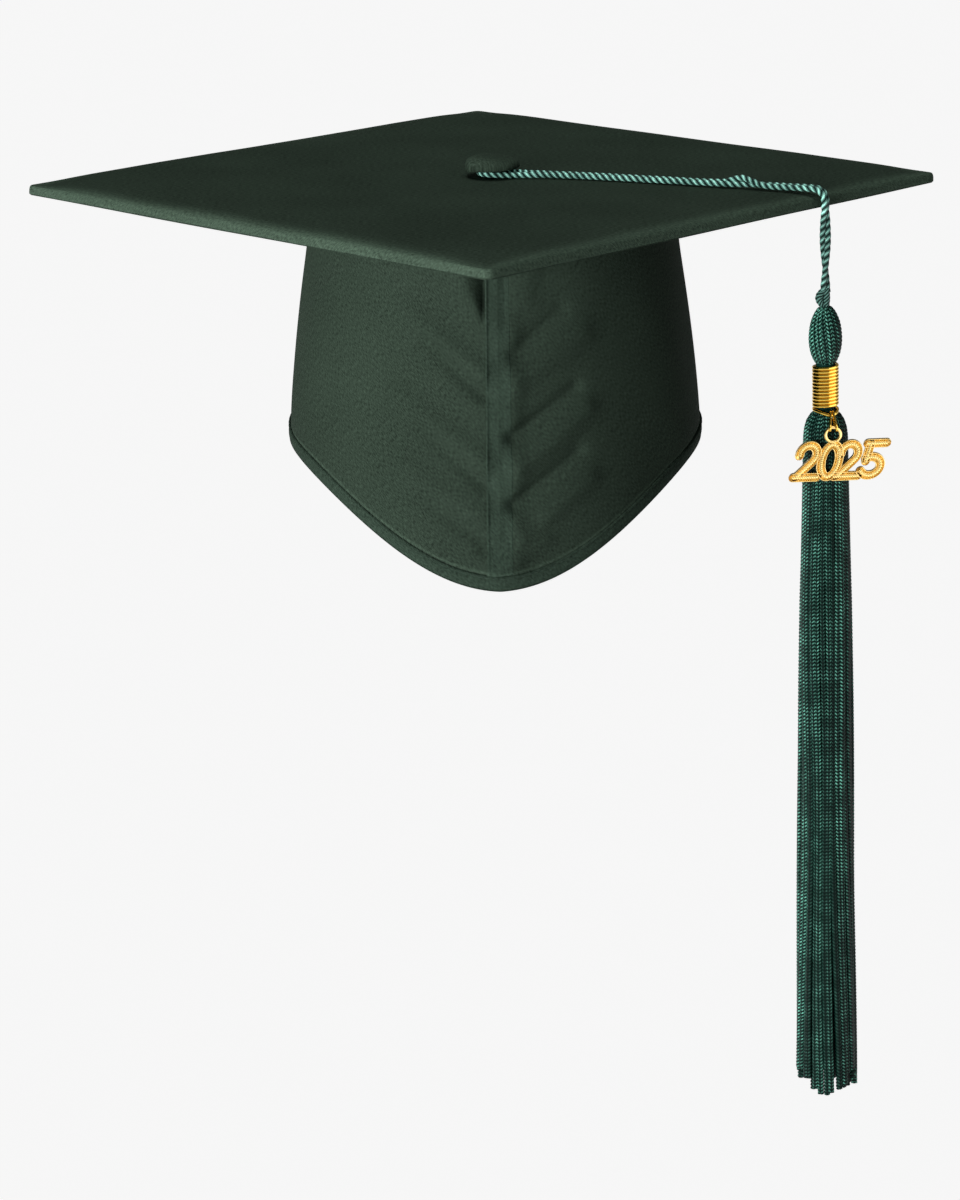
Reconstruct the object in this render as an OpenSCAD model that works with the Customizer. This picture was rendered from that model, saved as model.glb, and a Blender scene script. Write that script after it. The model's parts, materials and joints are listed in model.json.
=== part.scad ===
// Graduation cap: a square padded board on a soft peaked crown, with a corded tassel
// that hangs over the front right edge and carries a gold band and a year charm.
// The origin is the centre of the head opening, +Z is up and -Y is the front, in mm.

/* [Board] */
// Side of the square board
board_side = 241; // [239:0.5:245]
// Radius of the board's corners in plan
board_corner_r = 3; // [2.6:0.2:4]
// Radius of the padded top edge
board_edge_r = 2.5; // [2.3:0.1:2.5]
// Height of the board's top face above the head opening
board_top = 98; // [92:1:104]
// How far the board's centre lies to the left of the button
board_offset = 4; // [0:0.5:4]
// Thickness of the stiff sheet
core_t = 2.6; // [2:0.1:2.8]
// Thickness of the foam over the sheet
padding_t = 2; // [1.8:0.1:2.2]
// Thickness of the outer cloth
cloth_t = 0.45; // [0.3:0.05:0.5]

/* [Button] */
// Radius of the covered button
button_r = 10.3; // [9:0.1:12]
// Height of the button's dome
button_dome = 4.2; // [4:0.1:6]
// Height of the collar that lifts the button off the board
collar_h = 2.9; // [2.8:0.1:4]
// Radius of the collar that the cord loops round
collar_r = 3.3; // [2.8:0.1:3.4]
// Radius of the rivet's stem
stem_r = 2.4; // [2:0.1:2.6]

/* [Crown] */
// Width of the crown at the head opening
crown_w = 156.6; // [150:0.5:165]
// Length of the crown at the head opening
crown_l = 194; // [186:0.5:204]
// How much narrower each side is at the board
side_taper = 11; // [6:0.5:13]
// How much shorter each end is at the board
end_taper = 12; // [6:0.5:14]
// How far the front seam stands out as a ridge
crown_prow = 4; // [0:0.5:5]
// Drop of the front peak below the sides
peak_drop = 33.5; // [20:0.5:45]
// Drop of the back below the sides
back_drop = 14; // [0:0.5:20]
// Thickness of the stiff interlining
interlining_t = 0.8; // [0.5:0.05:1]
// Thickness of the lining
lining_t = 0.3; // [0.2:0.05:0.4]
// Height of the sewn hem
hem_h = 5; // [4:0.5:7]
// Height of the sweatband inside the hem
sweatband_h = 26; // [20:1:32]
// Width of the strip over the front and back seams
seam_w = 9; // [6:0.5:12]

/* [Tassel] */
// Direction of the cord from the button, in degrees from +X
cord_angle = -23; // [-25:0.5:-20]
// Lean of the hanging tassel towards +X, in degrees
lean = 1.3; // [0:0.1:2]
// Diameter of one strand of the cord
strand_d = 2.2; // [1.8:0.1:2.2]
// Diameter of the two strands twisted together
twist_d = 4.4; // [3.6:0.1:4.4]
// Radius of the bulb at the top of the tassel
head_r = 6; // [5:0.1:6.5]
// Radius of the gold band
band_r = 4.9; // [4.8:0.1:5.2]
// Number of turns in the gold band
band_turns = 13; // [11:1:13]

/* [Charm] */
// Height of the numerals
numeral_h = 15; // [12:0.5:16]
// Thickness of the numerals
numeral_t = 1.4; // [1:0.1:1.6]
// Slant of the numerals, as run over rise
numeral_slant = 0.2; // [0:0.05:0.25]
// Radius of the ring on the numerals, at the middle of its wire
ring_r = 2.7; // [2.5:0.1:2.9]

/* [Hidden] */
$fn = 48;

cap_green = "#2b3a33";
board_green = "#242e28";
tassel_green = "#1b4a40";
gold = "#d9a520";
buckram = "#d8d4c8";

// Small gap between layers that lie on each other
ply_gap = 0.05;
// Gap between the foam's edge and the cloth over it
foam_play = 0.35;

// Heights through the board
board_under = board_top - 2 * cloth_t - padding_t - core_t;
core_low = board_under + cloth_t;
foam_low = core_low + core_t;
foam_top = board_top - cloth_t - ply_gap;

// Heights through the button
button_low = board_top + collar_h;
lip_t = 0.4;
back_low = button_low + lip_t + ply_gap;
back_t = 0.8;
shell_t = 0.5;
tip_t = 1;
washer_t = 1;
washer_low = board_under - tip_t - washer_t;

// Insets of the crown's layers from its outer face, each as [outside, inside]
panel_skin = [0, cloth_t];
strip_skin = [-ply_gap - cloth_t, -ply_gap];
interlining_skin = [cloth_t + ply_gap, cloth_t + ply_gap + interlining_t];
lining_skin = [interlining_skin[1] + ply_gap, interlining_skin[1] + ply_gap + lining_t];
sweatband_skin = [lining_skin[1] + ply_gap, lining_skin[1] + ply_gap + 0.7];
elastic_skin = [sweatband_skin[1] + ply_gap, sweatband_skin[1] + ply_gap + 0.8];
half_turn_cols = 20;
crown_rows = 7;
// Half the angle that a seam strip takes
strip_angle = asin(seam_w / crown_w);

// Route of the looped cord: distance from the button's axis along the cord's direction,
// sideways offset and height over the board's top face, from one hanging end, round the
// collar and back, with one leg crossing over the other on the way to the edge.
cord_route = [
    [129.1, -1.3, -5.4], [129.1, -1.3, -3.1], [128.5, -1.3, -0.9], [126.9, -1.3, 0.8],
    [124.6, -1.3, 1.4], [115, -1.3, 1.4], [106, -1.3, 1.6], [101, -0.8, 3.1],
    [98, 0, 3.7], [95, 0.8, 3.1], [90, 1.3, 1.6], [65, 1.3, 1.4], [40, 1.3, 1.4],
    [22, 1.5, 1.4], [12, 2.8, 1.4], [5, 4.4, 1.4], [0, 4.8, 1.4], [-3.4, 3.4, 1.4],
    [-4.8, 0, 1.4], [-3.4, -3.4, 1.4], [0, -4.8, 1.4], [5, -4.4, 1.4], [12, -2.8, 1.4],
    [22, -1.5, 1.4], [40, -1.3, 1.4], [65, -1.3, 1.4], [90, -1.3, 1.4], [95, -0.8, 1.4],
    [98, 0, 1.4], [101, 0.8, 1.4], [106, 1.3, 1.4], [115, 1.3, 1.4], [124.6, 1.3, 1.4],
    [126.9, 1.3, 0.8], [128.5, 1.3, -0.9], [129.1, 1.3, -3.1], [129.1, 1.3, -5.4]
];
// Longest step between two rings of the cord
ring_step = 7;

// Pivot of the hanging cord, just outside and below the board's edge
pivot_out = 129.1;
pivot = [pivot_out * cos(cord_angle), pivot_out * sin(cord_angle), board_top - 7.9];

// Heights down the tassel, below the pivot
knot_top = -27.6;
knot_mid = -30.5;
knot_low = -33.3;
knot_r = 2.4;
head_top = -33.7;
head_low = -54.4;
anchor_mid = -43;
band_top = -54.5;
band_low = -71.1;
neck_r = 3.5;
skirt_low = -345;

// Wire of the band, the bail and the ring
band_wire_r = (band_top - band_low) / band_turns / 2;
turn_r = 0.6;
bail_wire_r = 0.4;
bail_play = 0.25;
bail_bend_r = turn_r + bail_wire_r + bail_play;
charm_x = 1.6;
// Where the bail goes round the band's last turn, and round the ring
bail_top = [charm_x, -5.4, -72.9];
bail_low = [charm_x, -9.9, -76.4];
last_turn_r = 5;
last_turn_shift = -0.7;

// ---------- shapes that are shared ----------

// Plan of the board with round corners
module rounded_square(side, r) {
    square([side - 2 * r, side], center = true);
    square([side, side - 2 * r], center = true);
    for (x = [-1, 1], y = [-1, 1]) {
        translate([x * (side / 2 - r), y * (side / 2 - r)]) circle(r);
    }
}

// Points of a round-cornered square, inset from the board's outline, at one height
function board_outline(inset, z) =
    let (r = max(board_corner_r - inset, 0.3), half = board_side / 2 - inset - r)
    [for (corner = [0 : 3], step = [0 : 4])
        let (a = 90 * corner + 22.5 * step, b = 90 * corner + 45)
        [half * sign(cos(b)) + r * cos(a), half * sign(sin(b)) + r * sin(a), z]];

// Insets and heights of a slab whose top edge is rounded to radius r
function edge_levels(inset, low, top, r) = concat([[inset, low]],
    [for (a = [0 : 22.5 : 90]) [inset + r * (1 - cos(a)), top - r * (1 - sin(a))]]);

// Faces that join rings of n points into a closed solid, the first ring lowest
function ring_faces(rings, n) = concat(
    [[for (k = [0 : n - 1]) k]],
    [for (i = [0 : rings - 2], k = [0 : n - 1])
        [i * n + k, (i + 1) * n + k, (i + 1) * n + (k + 1) % n]],
    [for (i = [0 : rings - 2], k = [0 : n - 1])
        [i * n + k, (i + 1) * n + (k + 1) % n, i * n + (k + 1) % n]],
    [[for (k = [n - 1 : -1 : 0]) (rings - 1) * n + k]]);

module slab(levels) {
    rings = [for (level = levels) board_outline(level[0], level[1])];
    points = [for (ring = rings, p = ring) p];
    polyhedron(points, ring_faces(len(rings), len(rings[0])));
}

module on_board() {
    translate([-board_offset, 0, 0]) rotate([0, 0, 45]) children();
}

module stem_hole(r) {
    cylinder(h = 3 * board_top, r = r, center = true);
}

// Half width and half length of the crown at a height
function crown_rise(z, low) = pow(max(z - low, 0) / (board_under - low), 1.35);
function half_width(z) = crown_w / 2 - side_taper * crown_rise(z, 0);
function half_length(z) = crown_l / 2 - end_taper * crown_rise(z, -peak_drop);

// How far the front ridge stands out of the oval at an angle from the front
function prow(angle) = cos(angle) > 0 ? crown_prow * pow(1 - abs(sin(angle)), 3) : 0;

// A point of the crown: angle from the front, height, and inset from the outer face
function crown_point(angle, z, inset) =
    [(half_width(z) - inset) * sin(angle),
        -(half_length(z) - inset) * cos(angle) - prow(angle), z];

// Height of the hem, which dips to a peak at the front and a little at the back
function hem_z(angle) =
    -(cos(angle) > 0 ? peak_drop : back_drop) * pow(abs(cos(angle)), 3.4);

// Height of a layer's edge: a lift above the hem, or the board's underside
function edge_z(angle, lift) = is_undef(lift) ? board_under : hem_z(angle) + lift;

// One layer of the crown between two angles, with its outside and inside skins
module crown_layer(from, to, skin, low = 0, high = undef, cols = half_turn_cols,
        rows = crown_rows) {
    closed = to - from == 360;
    n = closed ? cols : cols + 1;
    points = [for (inset = skin, row = [0 : rows], col = [0 : n - 1])
        let (angle = from + (to - from) * col / cols, bottom = edge_z(angle, low))
        crown_point(angle, bottom + (edge_z(angle, high) - bottom) * row / rows, inset)];
    id = function (side, row, col) (side * (rows + 1) + row) * n + col % n;
    quad = function (a, b, c, d) [[a, b, c], [a, c, d]];
    walls = [for (row = [0 : rows - 1], col = [0 : cols - 1], f = concat(
        quad(id(0, row, col), id(0, row + 1, col), id(0, row + 1, col + 1), id(0, row, col + 1)),
        quad(id(1, row, col), id(1, row, col + 1), id(1, row + 1, col + 1), id(1, row + 1, col))
        )) f];
    rims = [for (col = [0 : cols - 1], f = concat(
        quad(id(0, 0, col), id(0, 0, col + 1), id(1, 0, col + 1), id(1, 0, col)),
        quad(id(0, rows, col), id(1, rows, col), id(1, rows, col + 1), id(0, rows, col + 1))
        )) f];
    ends = closed ? [] : [for (row = [0 : rows - 1], f = concat(
        quad(id(0, row, 0), id(1, row, 0), id(1, row + 1, 0), id(0, row + 1, 0)),
        quad(id(0, row, cols), id(0, row + 1, cols), id(1, row + 1, cols), id(1, row, cols))
        )) f];
    polyhedron(points, concat(walls, rims, ends));
}

// A flat oval that fits inside the crown at one height
module crown_oval(z, inset, t) {
    translate([0, 0, z]) linear_extrude(t)
        polygon([for (a = [0 : 7.5 : 352.5]) let (p = crown_point(a, z, inset)) [p[0], p[1]]]);
}

// Smooth curve through a route, as a chord-length Hermite spline
function slope(path, i) =
    let (a = path[max(i - 1, 0)], b = path[i], c = path[min(i + 1, len(path) - 1)])
    (c - a) / (norm(b - a) + norm(c - b));
function spline_at(path, i, t) =
    let (d = norm(path[i + 1] - path[i]))
    (2 * t * t * t - 3 * t * t + 1) * path[i] + (t * t * t - 2 * t * t + t) * d * slope(path, i)
    + (3 * t * t - 2 * t * t * t) * path[i + 1] + (t * t * t - t * t) * d * slope(path, i + 1);
function smooth(path) = concat(
    [for (i = [0 : len(path) - 2])
        let (steps = ceil(norm(path[i + 1] - path[i]) / ring_step))
        for (k = [0 : steps - 1]) spline_at(path, i, k / steps)],
    [path[len(path) - 1]]);

function unit(v) = v / norm(v);
function carried(side, ahead) = unit(side - (side * ahead) * ahead);

// A tube along a curve, each ring's side direction carried over from the ring before
module tube(path, r, sides = 8) {
    last = len(path) - 1;
    ahead = [for (i = [0 : last]) unit(path[min(i + 1, last)] - path[max(i - 1, 0)])];
    side = [for (i = 0, s = carried([0, 1, 0], ahead[0]); i <= last;
        i = i + 1, s = i <= last ? carried(s, ahead[i]) : s) s];
    points = [for (i = [0 : last], k = [0 : sides - 1])
        let (a = 360 * k / sides)
        path[i] + r * (cos(a) * side[i] + sin(a) * cross(ahead[i], side[i]))];
    polyhedron(points, ring_faces(last + 1, sides));
}

// Frame of the hanging tassel: the pivot, leaning a little
module hanging() {
    translate(pivot) rotate([0, -lean, 0]) children();
}

// A solid of revolution from a list of [radius, height], closed along the axis
module turned(profile) {
    rotate_extrude() polygon(concat(
        [[0, profile[0][1]]], profile, [[0, profile[len(profile) - 1][1]]]));
}

module torus(ring, wire) {
    rotate_extrude() translate([ring, 0]) circle(wire, $fn = 24);
}

// ---------- board ----------

module board_core() {
    color("#5b4a36") difference() {
        translate([0, 0, core_low]) on_board() linear_extrude(core_t)
            rounded_square(board_side - 2 * cloth_t - 2 * ply_gap, board_corner_r - cloth_t);
        stem_hole(stem_r + ply_gap);
    }
}

module board_padding() {
    color("#c9c9c2") difference() {
        on_board() slab(edge_levels(cloth_t + foam_play, foam_low, foam_top,
            foam_top - foam_low - 0.2));
        stem_hole(stem_r + 1);
    }
}

module board_top_cover() {
    color(board_green) difference() {
        on_board() slab(edge_levels(0, core_low, board_top, board_edge_r));
        on_board() slab(edge_levels(cloth_t, core_low - 1, board_top - cloth_t,
            board_edge_r - cloth_t));
        stem_hole(stem_r + ply_gap);
    }
}

module board_bottom_cover() {
    color(board_green) difference() {
        translate([0, 0, board_under]) on_board() linear_extrude(cloth_t)
            rounded_square(board_side - 0.4, board_corner_r);
        stem_hole(stem_r + ply_gap);
    }
}

// ---------- button ----------

// Quarter-ellipse profile of the dome, from the rim up to the axis
function dome(r, h, z) = [for (a = [0 : 7.5 : 90]) [r * cos(a), z + h * sin(a)]];

module button_cover() {
    color(cap_green) difference() {
        turned(concat([[button_r, button_low]],
            dome(button_r, button_dome - lip_t, button_low + lip_t)));
        turned(dome(button_r - cloth_t, button_dome - lip_t - cloth_t, button_low + lip_t));
        cylinder(h = button_low + lip_t, r = button_r - 3);
    }
}

module button_shell() {
    outer_r = button_r - cloth_t - ply_gap;
    outer_h = button_dome - lip_t - cloth_t - 2 * ply_gap;
    color("silver") difference() {
        turned(dome(outer_r, outer_h, back_low));
        turned(dome(outer_r - shell_t, outer_h - shell_t, back_low));
    }
}

module button_back() {
    color("#3a3f3c") difference() {
        translate([0, 0, back_low]) cylinder(h = back_t, r = button_r - 2.2);
        stem_hole(stem_r + ply_gap);
    }
}

module button_rivet() {
    head_t = 0.8;
    color("silver") {
        translate([0, 0, washer_low - head_t])
            cylinder(h = back_low + back_t + 2 * head_t - washer_low, r = stem_r);
        translate([0, 0, board_top]) cylinder(h = back_low - board_top, r = collar_r);
        translate([0, 0, back_low + back_t]) cylinder(h = head_t, r = collar_r);
        translate([0, 0, washer_low - head_t]) cylinder(h = head_t, r = collar_r + 0.4);
    }
}

module rivet_washer() {
    color("silver") translate([0, 0, washer_low]) difference() {
        cylinder(h = washer_t, r = 8);
        stem_hole(stem_r + ply_gap);
    }
}

// ---------- crown ----------

module crown_tip() {
    color(cap_green) difference() {
        crown_oval(board_under - tip_t, interlining_skin[1] + 0.3, tip_t);
        stem_hole(stem_r + ply_gap);
    }
}

module crown_panel_left() {
    color(cap_green) crown_layer(180, 360, panel_skin);
}

module crown_panel_right() {
    color(cap_green) crown_layer(0, 180, panel_skin);
}

module interlining_left() {
    color(buckram) crown_layer(180, 360, interlining_skin, low = 1);
}

module interlining_right() {
    color(buckram) crown_layer(0, 180, interlining_skin, low = 1);
}

module lining_wall() {
    color("#39453e") difference() {
        crown_layer(0, 360, lining_skin, low = 1.5, cols = 2 * half_turn_cols);
        translate([0, 0, board_under - tip_t - 0.2]) cylinder(h = 2 * tip_t, r = crown_l);
    }
}

module lining_tip() {
    color("#39453e") crown_oval(washer_low - 2, lining_skin[1] + 0.3, lining_t);
}

module front_seam_strip() {
    color(cap_green)
        crown_layer(-strip_angle, strip_angle, strip_skin, low = hem_h + 0.1, cols = 2);
}

module back_seam_strip() {
    color(cap_green)
        crown_layer(180 - strip_angle, 180 + strip_angle, strip_skin, low = hem_h + 0.1, cols = 2);
}

module hem_band() {
    color(cap_green)
        crown_layer(0, 360, strip_skin, low = -0.3, high = hem_h, cols = 2 * half_turn_cols,
            rows = 1);
}

module sweatband() {
    color("#2b332e")
        crown_layer(0, 360, sweatband_skin, low = 2, high = sweatband_h,
            cols = 2 * half_turn_cols, rows = 2);
}

module back_elastic() {
    color("#20241f")
        crown_layer(135, 225, elastic_skin, low = 6, high = 18, cols = 10, rows = 1);
}

// ---------- cord and tassel ----------

module cord_on_board() {
    color(tassel_green) translate([0, 0, board_top]) rotate([0, 0, cord_angle])
        tube(smooth(cord_route), strand_d / 2);
}

module cord_hanging() {
    top_r = twist_d / 2;
    low_r = 1.7;
    color(tassel_green) hanging() turned(concat(
        [[low_r, knot_top], [top_r - 0.2, -12]],
        [for (a = [0 : 15 : 90]) [top_r * cos(a), top_r * sin(a)]]));
}

module cord_knot() {
    half_h = (knot_top - knot_low) / 2;
    color(tassel_green) hanging() turned(
        [for (a = [-90 : 15 : 90]) [knot_r * cos(a), (knot_top + knot_low) / 2 + half_h * sin(a)]]);
}

// The bulb of folded strands: radius at each height
head_profile = [[3.6, head_low], [4.6, -52.6], [5.5, -50], [head_r, -46.5], [head_r - 0.1, -43],
    [5.3, -39.5], [4.2, -36.6], [3, -34.6], [2, head_top]];

module anchor_shape(extra) {
    translate([0, 0, anchor_mid]) sphere(2.8 + extra);
    translate([0, 0, anchor_mid]) cylinder(h = head_top - anchor_mid - 0.1, r = 1.6 + extra);
}

module tassel_head() {
    color(tassel_green) hanging() difference() {
        turned(head_profile);
        anchor_shape(ply_gap);
        translate([0, 0, head_top - 0.3]) cylinder(h = 1, r = 1.6 + ply_gap);
    }
}

module anchor_knot() {
    color(tassel_green) hanging() anchor_shape(0);
}

module neck_binding() {
    color(tassel_green) hanging() translate([0, 0, band_low]) difference() {
        cylinder(h = band_top - band_low, r = neck_r);
        translate([0, 0, -1]) cylinder(h = band_top - band_low + 2, r = neck_r - 0.6);
    }
}

module gold_band() {
    wall = neck_r + ply_gap;
    mid = band_r - band_wire_r;
    color(gold) hanging() {
        rotate_extrude() {
            translate([wall, band_low]) square([mid - wall, band_top - band_low]);
            for (i = [0 : band_turns - 1]) {
                translate([mid, band_low + (2 * i + 1) * band_wire_r]) circle(band_wire_r);
            }
        }
        translate([0, last_turn_shift, bail_top[2]]) torus(last_turn_r, turn_r);
        translate([0, last_turn_r + last_turn_shift, bail_top[2]])
            cylinder(h = band_low - bail_top[2] + 0.5, r = turn_r - 0.1);
    }
}

// Radius and height down the bundle of strands, inside and outside
core_profile = [[2.6, skirt_low + 3], [7, skirt_low + 3], [6.2, -145], [5.2, -96], [4.6, -82],
    [2.9, -76], [neck_r - 0.7, -74], [neck_r - 0.7, head_low - 0.1]];
skirt_profile = [[12.2, skirt_low], [11, -245], [9.9, -145], [8.7, -96], [8.4, -82],
    [8.1, -80], [7.3, -78], [5.7, -76], [4.6, -75], [3.5, -73.6]];

module skirt_core() {
    color(tassel_green) hanging() turned(core_profile);
}

module skirt_strands() {
    color(tassel_green) hanging() difference() {
        turned(concat(skirt_profile, [[neck_r - 0.05, band_low - 0.1]]));
        turned([for (p = core_profile) [p[0] + ply_gap, p[1] - (p[1] < skirt_low + 4 ? 9 : 0)]]);
    }
}

// ---------- charm ----------

// A link of round wire in the YZ plane that goes round both ends
module charm_bail() {
    run = bail_low - bail_top;
    length = norm(run);
    tilt = atan2(-run[1], run[2]);
    color(gold) hanging() translate(bail_top) rotate([tilt, 0, 0]) {
        for (y = [-bail_bend_r, bail_bend_r]) {
            translate([0, y, 0]) cylinder(h = length, r = bail_wire_r);
        }
        for (end = [0, 1]) {
            translate([0, 0, end * length]) rotate([(1 - end) * 180, 0, 0]) rotate([90, 0, 90])
                rotate_extrude(angle = 180) translate([bail_bend_r, 0])
                    circle(bail_wire_r, $fn = 24);
        }
    }
}

module charm_ring() {
    color(gold) hanging() translate([charm_x, bail_low[1], bail_low[2] - ring_r])
        rotate([90, 0, 0]) torus(ring_r, turn_r);
}

// Half the width of a stroke, as a share of the numerals' height
stroke_half = 0.1;

// Middle lines of the numerals, in shares of their height
function arc_points(c, rx, ry, from, to, steps) =
    [for (k = [0 : steps]) let (a = from + (to - from) * k / steps)
        c + [rx * cos(a), ry * sin(a)]];
two_line = concat(arc_points([0.29, 0.67], 0.21, 0.23, 185, -35, 10), [[0.1, 0.12]]);
two_foot = [[0.03, 0.1], [0.6, 0.1]];
zero_line = arc_points([0.31, 0.5], 0.21, 0.4, 0, 360, 24);
five_head = [[0.62, 0.9], [0.17, 0.9]];
five_stem = [[0.24, 0.9], [0.2, 0.46]];
five_bowl = arc_points([0.33, 0.33], 0.25, 0.23, 125, -150, 12);

// A stroke of even width along a middle line
module stroke(line) {
    last = len(line) - 1;
    looped = norm(line[last] - line[0]) < 0.001;
    side = [for (i = [0 : last])
        let (before = i > 0 ? line[i - 1] : looped ? line[last - 1] : line[0],
            after = i < last ? line[i + 1] : looped ? line[1] : line[last],
            a = unit(after - before))
        stroke_half * [-a[1], a[0]]];
    left = [for (i = [0 : last]) line[i] + side[i]];
    right = [for (i = [last : -1 : 0]) line[i] - side[i]];
    slanted = [for (p = concat(left, right)) numeral_h * [p[0] + numeral_slant * p[1], p[1]]];
    if (looped) {
        difference() {
            polygon([for (i = [last + 1 : 2 * last]) slanted[i]]);
            polygon([for (i = [0 : last - 1]) slanted[i]]);
        }
    } else {
        polygon(slanted);
    }
}

module numeral(lines, x) {
    translate([x, 0]) for (line = lines) stroke(line);
}

// Numerals of the year, side by side and just touching
module year_charm() {
    ring_low = bail_low[2] - 2 * ring_r;
    color(gold) hanging()
        translate([charm_x, bail_low[1] + numeral_t / 2, ring_low - numeral_h + 0.5])
            rotate([90, 0, 0]) linear_extrude(numeral_t) {
                numeral([two_line, two_foot], -15.4);
                numeral([zero_line], -7.3);
                numeral([two_line, two_foot], -0.4);
                numeral([five_head, five_stem, five_bowl], 7.5);
            }
}

board_core();
board_padding();
board_top_cover();
board_bottom_cover();
button_cover();
button_shell();
button_back();
button_rivet();
rivet_washer();
crown_tip();
crown_panel_left();
crown_panel_right();
interlining_left();
interlining_right();
lining_wall();
lining_tip();
front_seam_strip();
back_seam_strip();
hem_band();
sweatband();
back_elastic();
cord_on_board();
cord_hanging();
cord_knot();
tassel_head();
anchor_knot();
neck_binding();
gold_band();
skirt_core();
skirt_strands();
charm_bail();
charm_ring();
year_charm();
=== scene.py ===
import json
import math

import bmesh
import bpy
import numpy as np
from mathutils import Matrix, Vector


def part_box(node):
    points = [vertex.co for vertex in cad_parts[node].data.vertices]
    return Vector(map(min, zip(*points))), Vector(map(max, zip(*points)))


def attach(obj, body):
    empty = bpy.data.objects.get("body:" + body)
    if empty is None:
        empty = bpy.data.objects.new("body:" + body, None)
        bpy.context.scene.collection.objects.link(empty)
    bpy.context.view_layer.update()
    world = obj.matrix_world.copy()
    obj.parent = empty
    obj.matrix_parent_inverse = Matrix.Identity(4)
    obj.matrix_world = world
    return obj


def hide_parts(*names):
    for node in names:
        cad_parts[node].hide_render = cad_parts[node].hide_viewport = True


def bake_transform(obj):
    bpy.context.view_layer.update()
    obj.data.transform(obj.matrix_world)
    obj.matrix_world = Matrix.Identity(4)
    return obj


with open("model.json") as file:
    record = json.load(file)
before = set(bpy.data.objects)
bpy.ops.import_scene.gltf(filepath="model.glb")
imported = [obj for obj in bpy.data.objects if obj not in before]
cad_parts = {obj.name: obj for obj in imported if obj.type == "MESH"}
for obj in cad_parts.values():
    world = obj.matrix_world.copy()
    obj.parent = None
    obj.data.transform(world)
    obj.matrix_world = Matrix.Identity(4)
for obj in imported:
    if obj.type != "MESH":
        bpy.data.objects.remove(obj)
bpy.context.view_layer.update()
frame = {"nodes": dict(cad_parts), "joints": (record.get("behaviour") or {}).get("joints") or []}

MM = 0.001
TURN = 2 * math.pi
rng = np.random.default_rng(41)


# ---------- small tools ----------

def unit(v):
    """Vectors scaled to length 1, along the last axis."""
    v = np.asarray(v, float)
    return v / np.linalg.norm(v, axis=-1, keepdims=True)


def smoothstep(t):
    """A smooth rise from 0 to 1 as t goes from 0 to 1."""
    t = np.clip(t, 0, 1)
    return t * t * (3 - 2 * t)


def hump(x, centre, width):
    """A smooth bump of height 1."""
    return np.exp(-((x - centre) / width) ** 2)


def corners(*nodes):
    """Lowest and highest corner over some CAD nodes."""
    boxes = [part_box(n) for n in nodes]
    low = np.min([list(b[0]) for b in boxes], axis=0)
    high = np.max([list(b[1]) for b in boxes], axis=0)
    return low, high


def joint(name):
    """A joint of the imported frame, by its name."""
    return next(j for j in frame["joints"] if j["name"] == name)


def spline(points, step):
    """A smooth curve through points, as a chord-length Hermite spline with even steps."""
    p = np.asarray(points, float)
    gaps = np.linalg.norm(np.diff(p, axis=0), axis=1)
    last = len(p) - 1
    slopes = [(p[min(i + 1, last)] - p[max(i - 1, 0)])
              / gaps[max(i - 1, 0):min(i + 1, last)].sum() for i in range(len(p))]
    curve = []
    for i, gap in enumerate(gaps):
        t = np.linspace(0, 1, max(2, round(gap / step) + 1))[:-1, None]
        curve.append((2 * t ** 3 - 3 * t ** 2 + 1) * p[i] + (t ** 3 - 2 * t ** 2 + t) * gap * slopes[i]
                     + (3 * t ** 2 - 2 * t ** 3) * p[i + 1] + (t ** 3 - t ** 2) * gap * slopes[i + 1])
    return np.vstack(curve + [p[-1:]])


def travelled(path):
    """Distance along a path to each of its points."""
    return np.concatenate([[0], np.cumsum(np.linalg.norm(np.diff(path, axis=0), axis=1))])


def carried(path, first):
    """A side direction at each point of a path, carried along without twisting."""
    ahead = unit(np.gradient(path, axis=0))
    side = np.zeros_like(path)
    now = np.asarray(first, float)
    for i, a in enumerate(ahead):
        now = unit(now - now.dot(a) * a)
        side[i] = now
    return side


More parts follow.
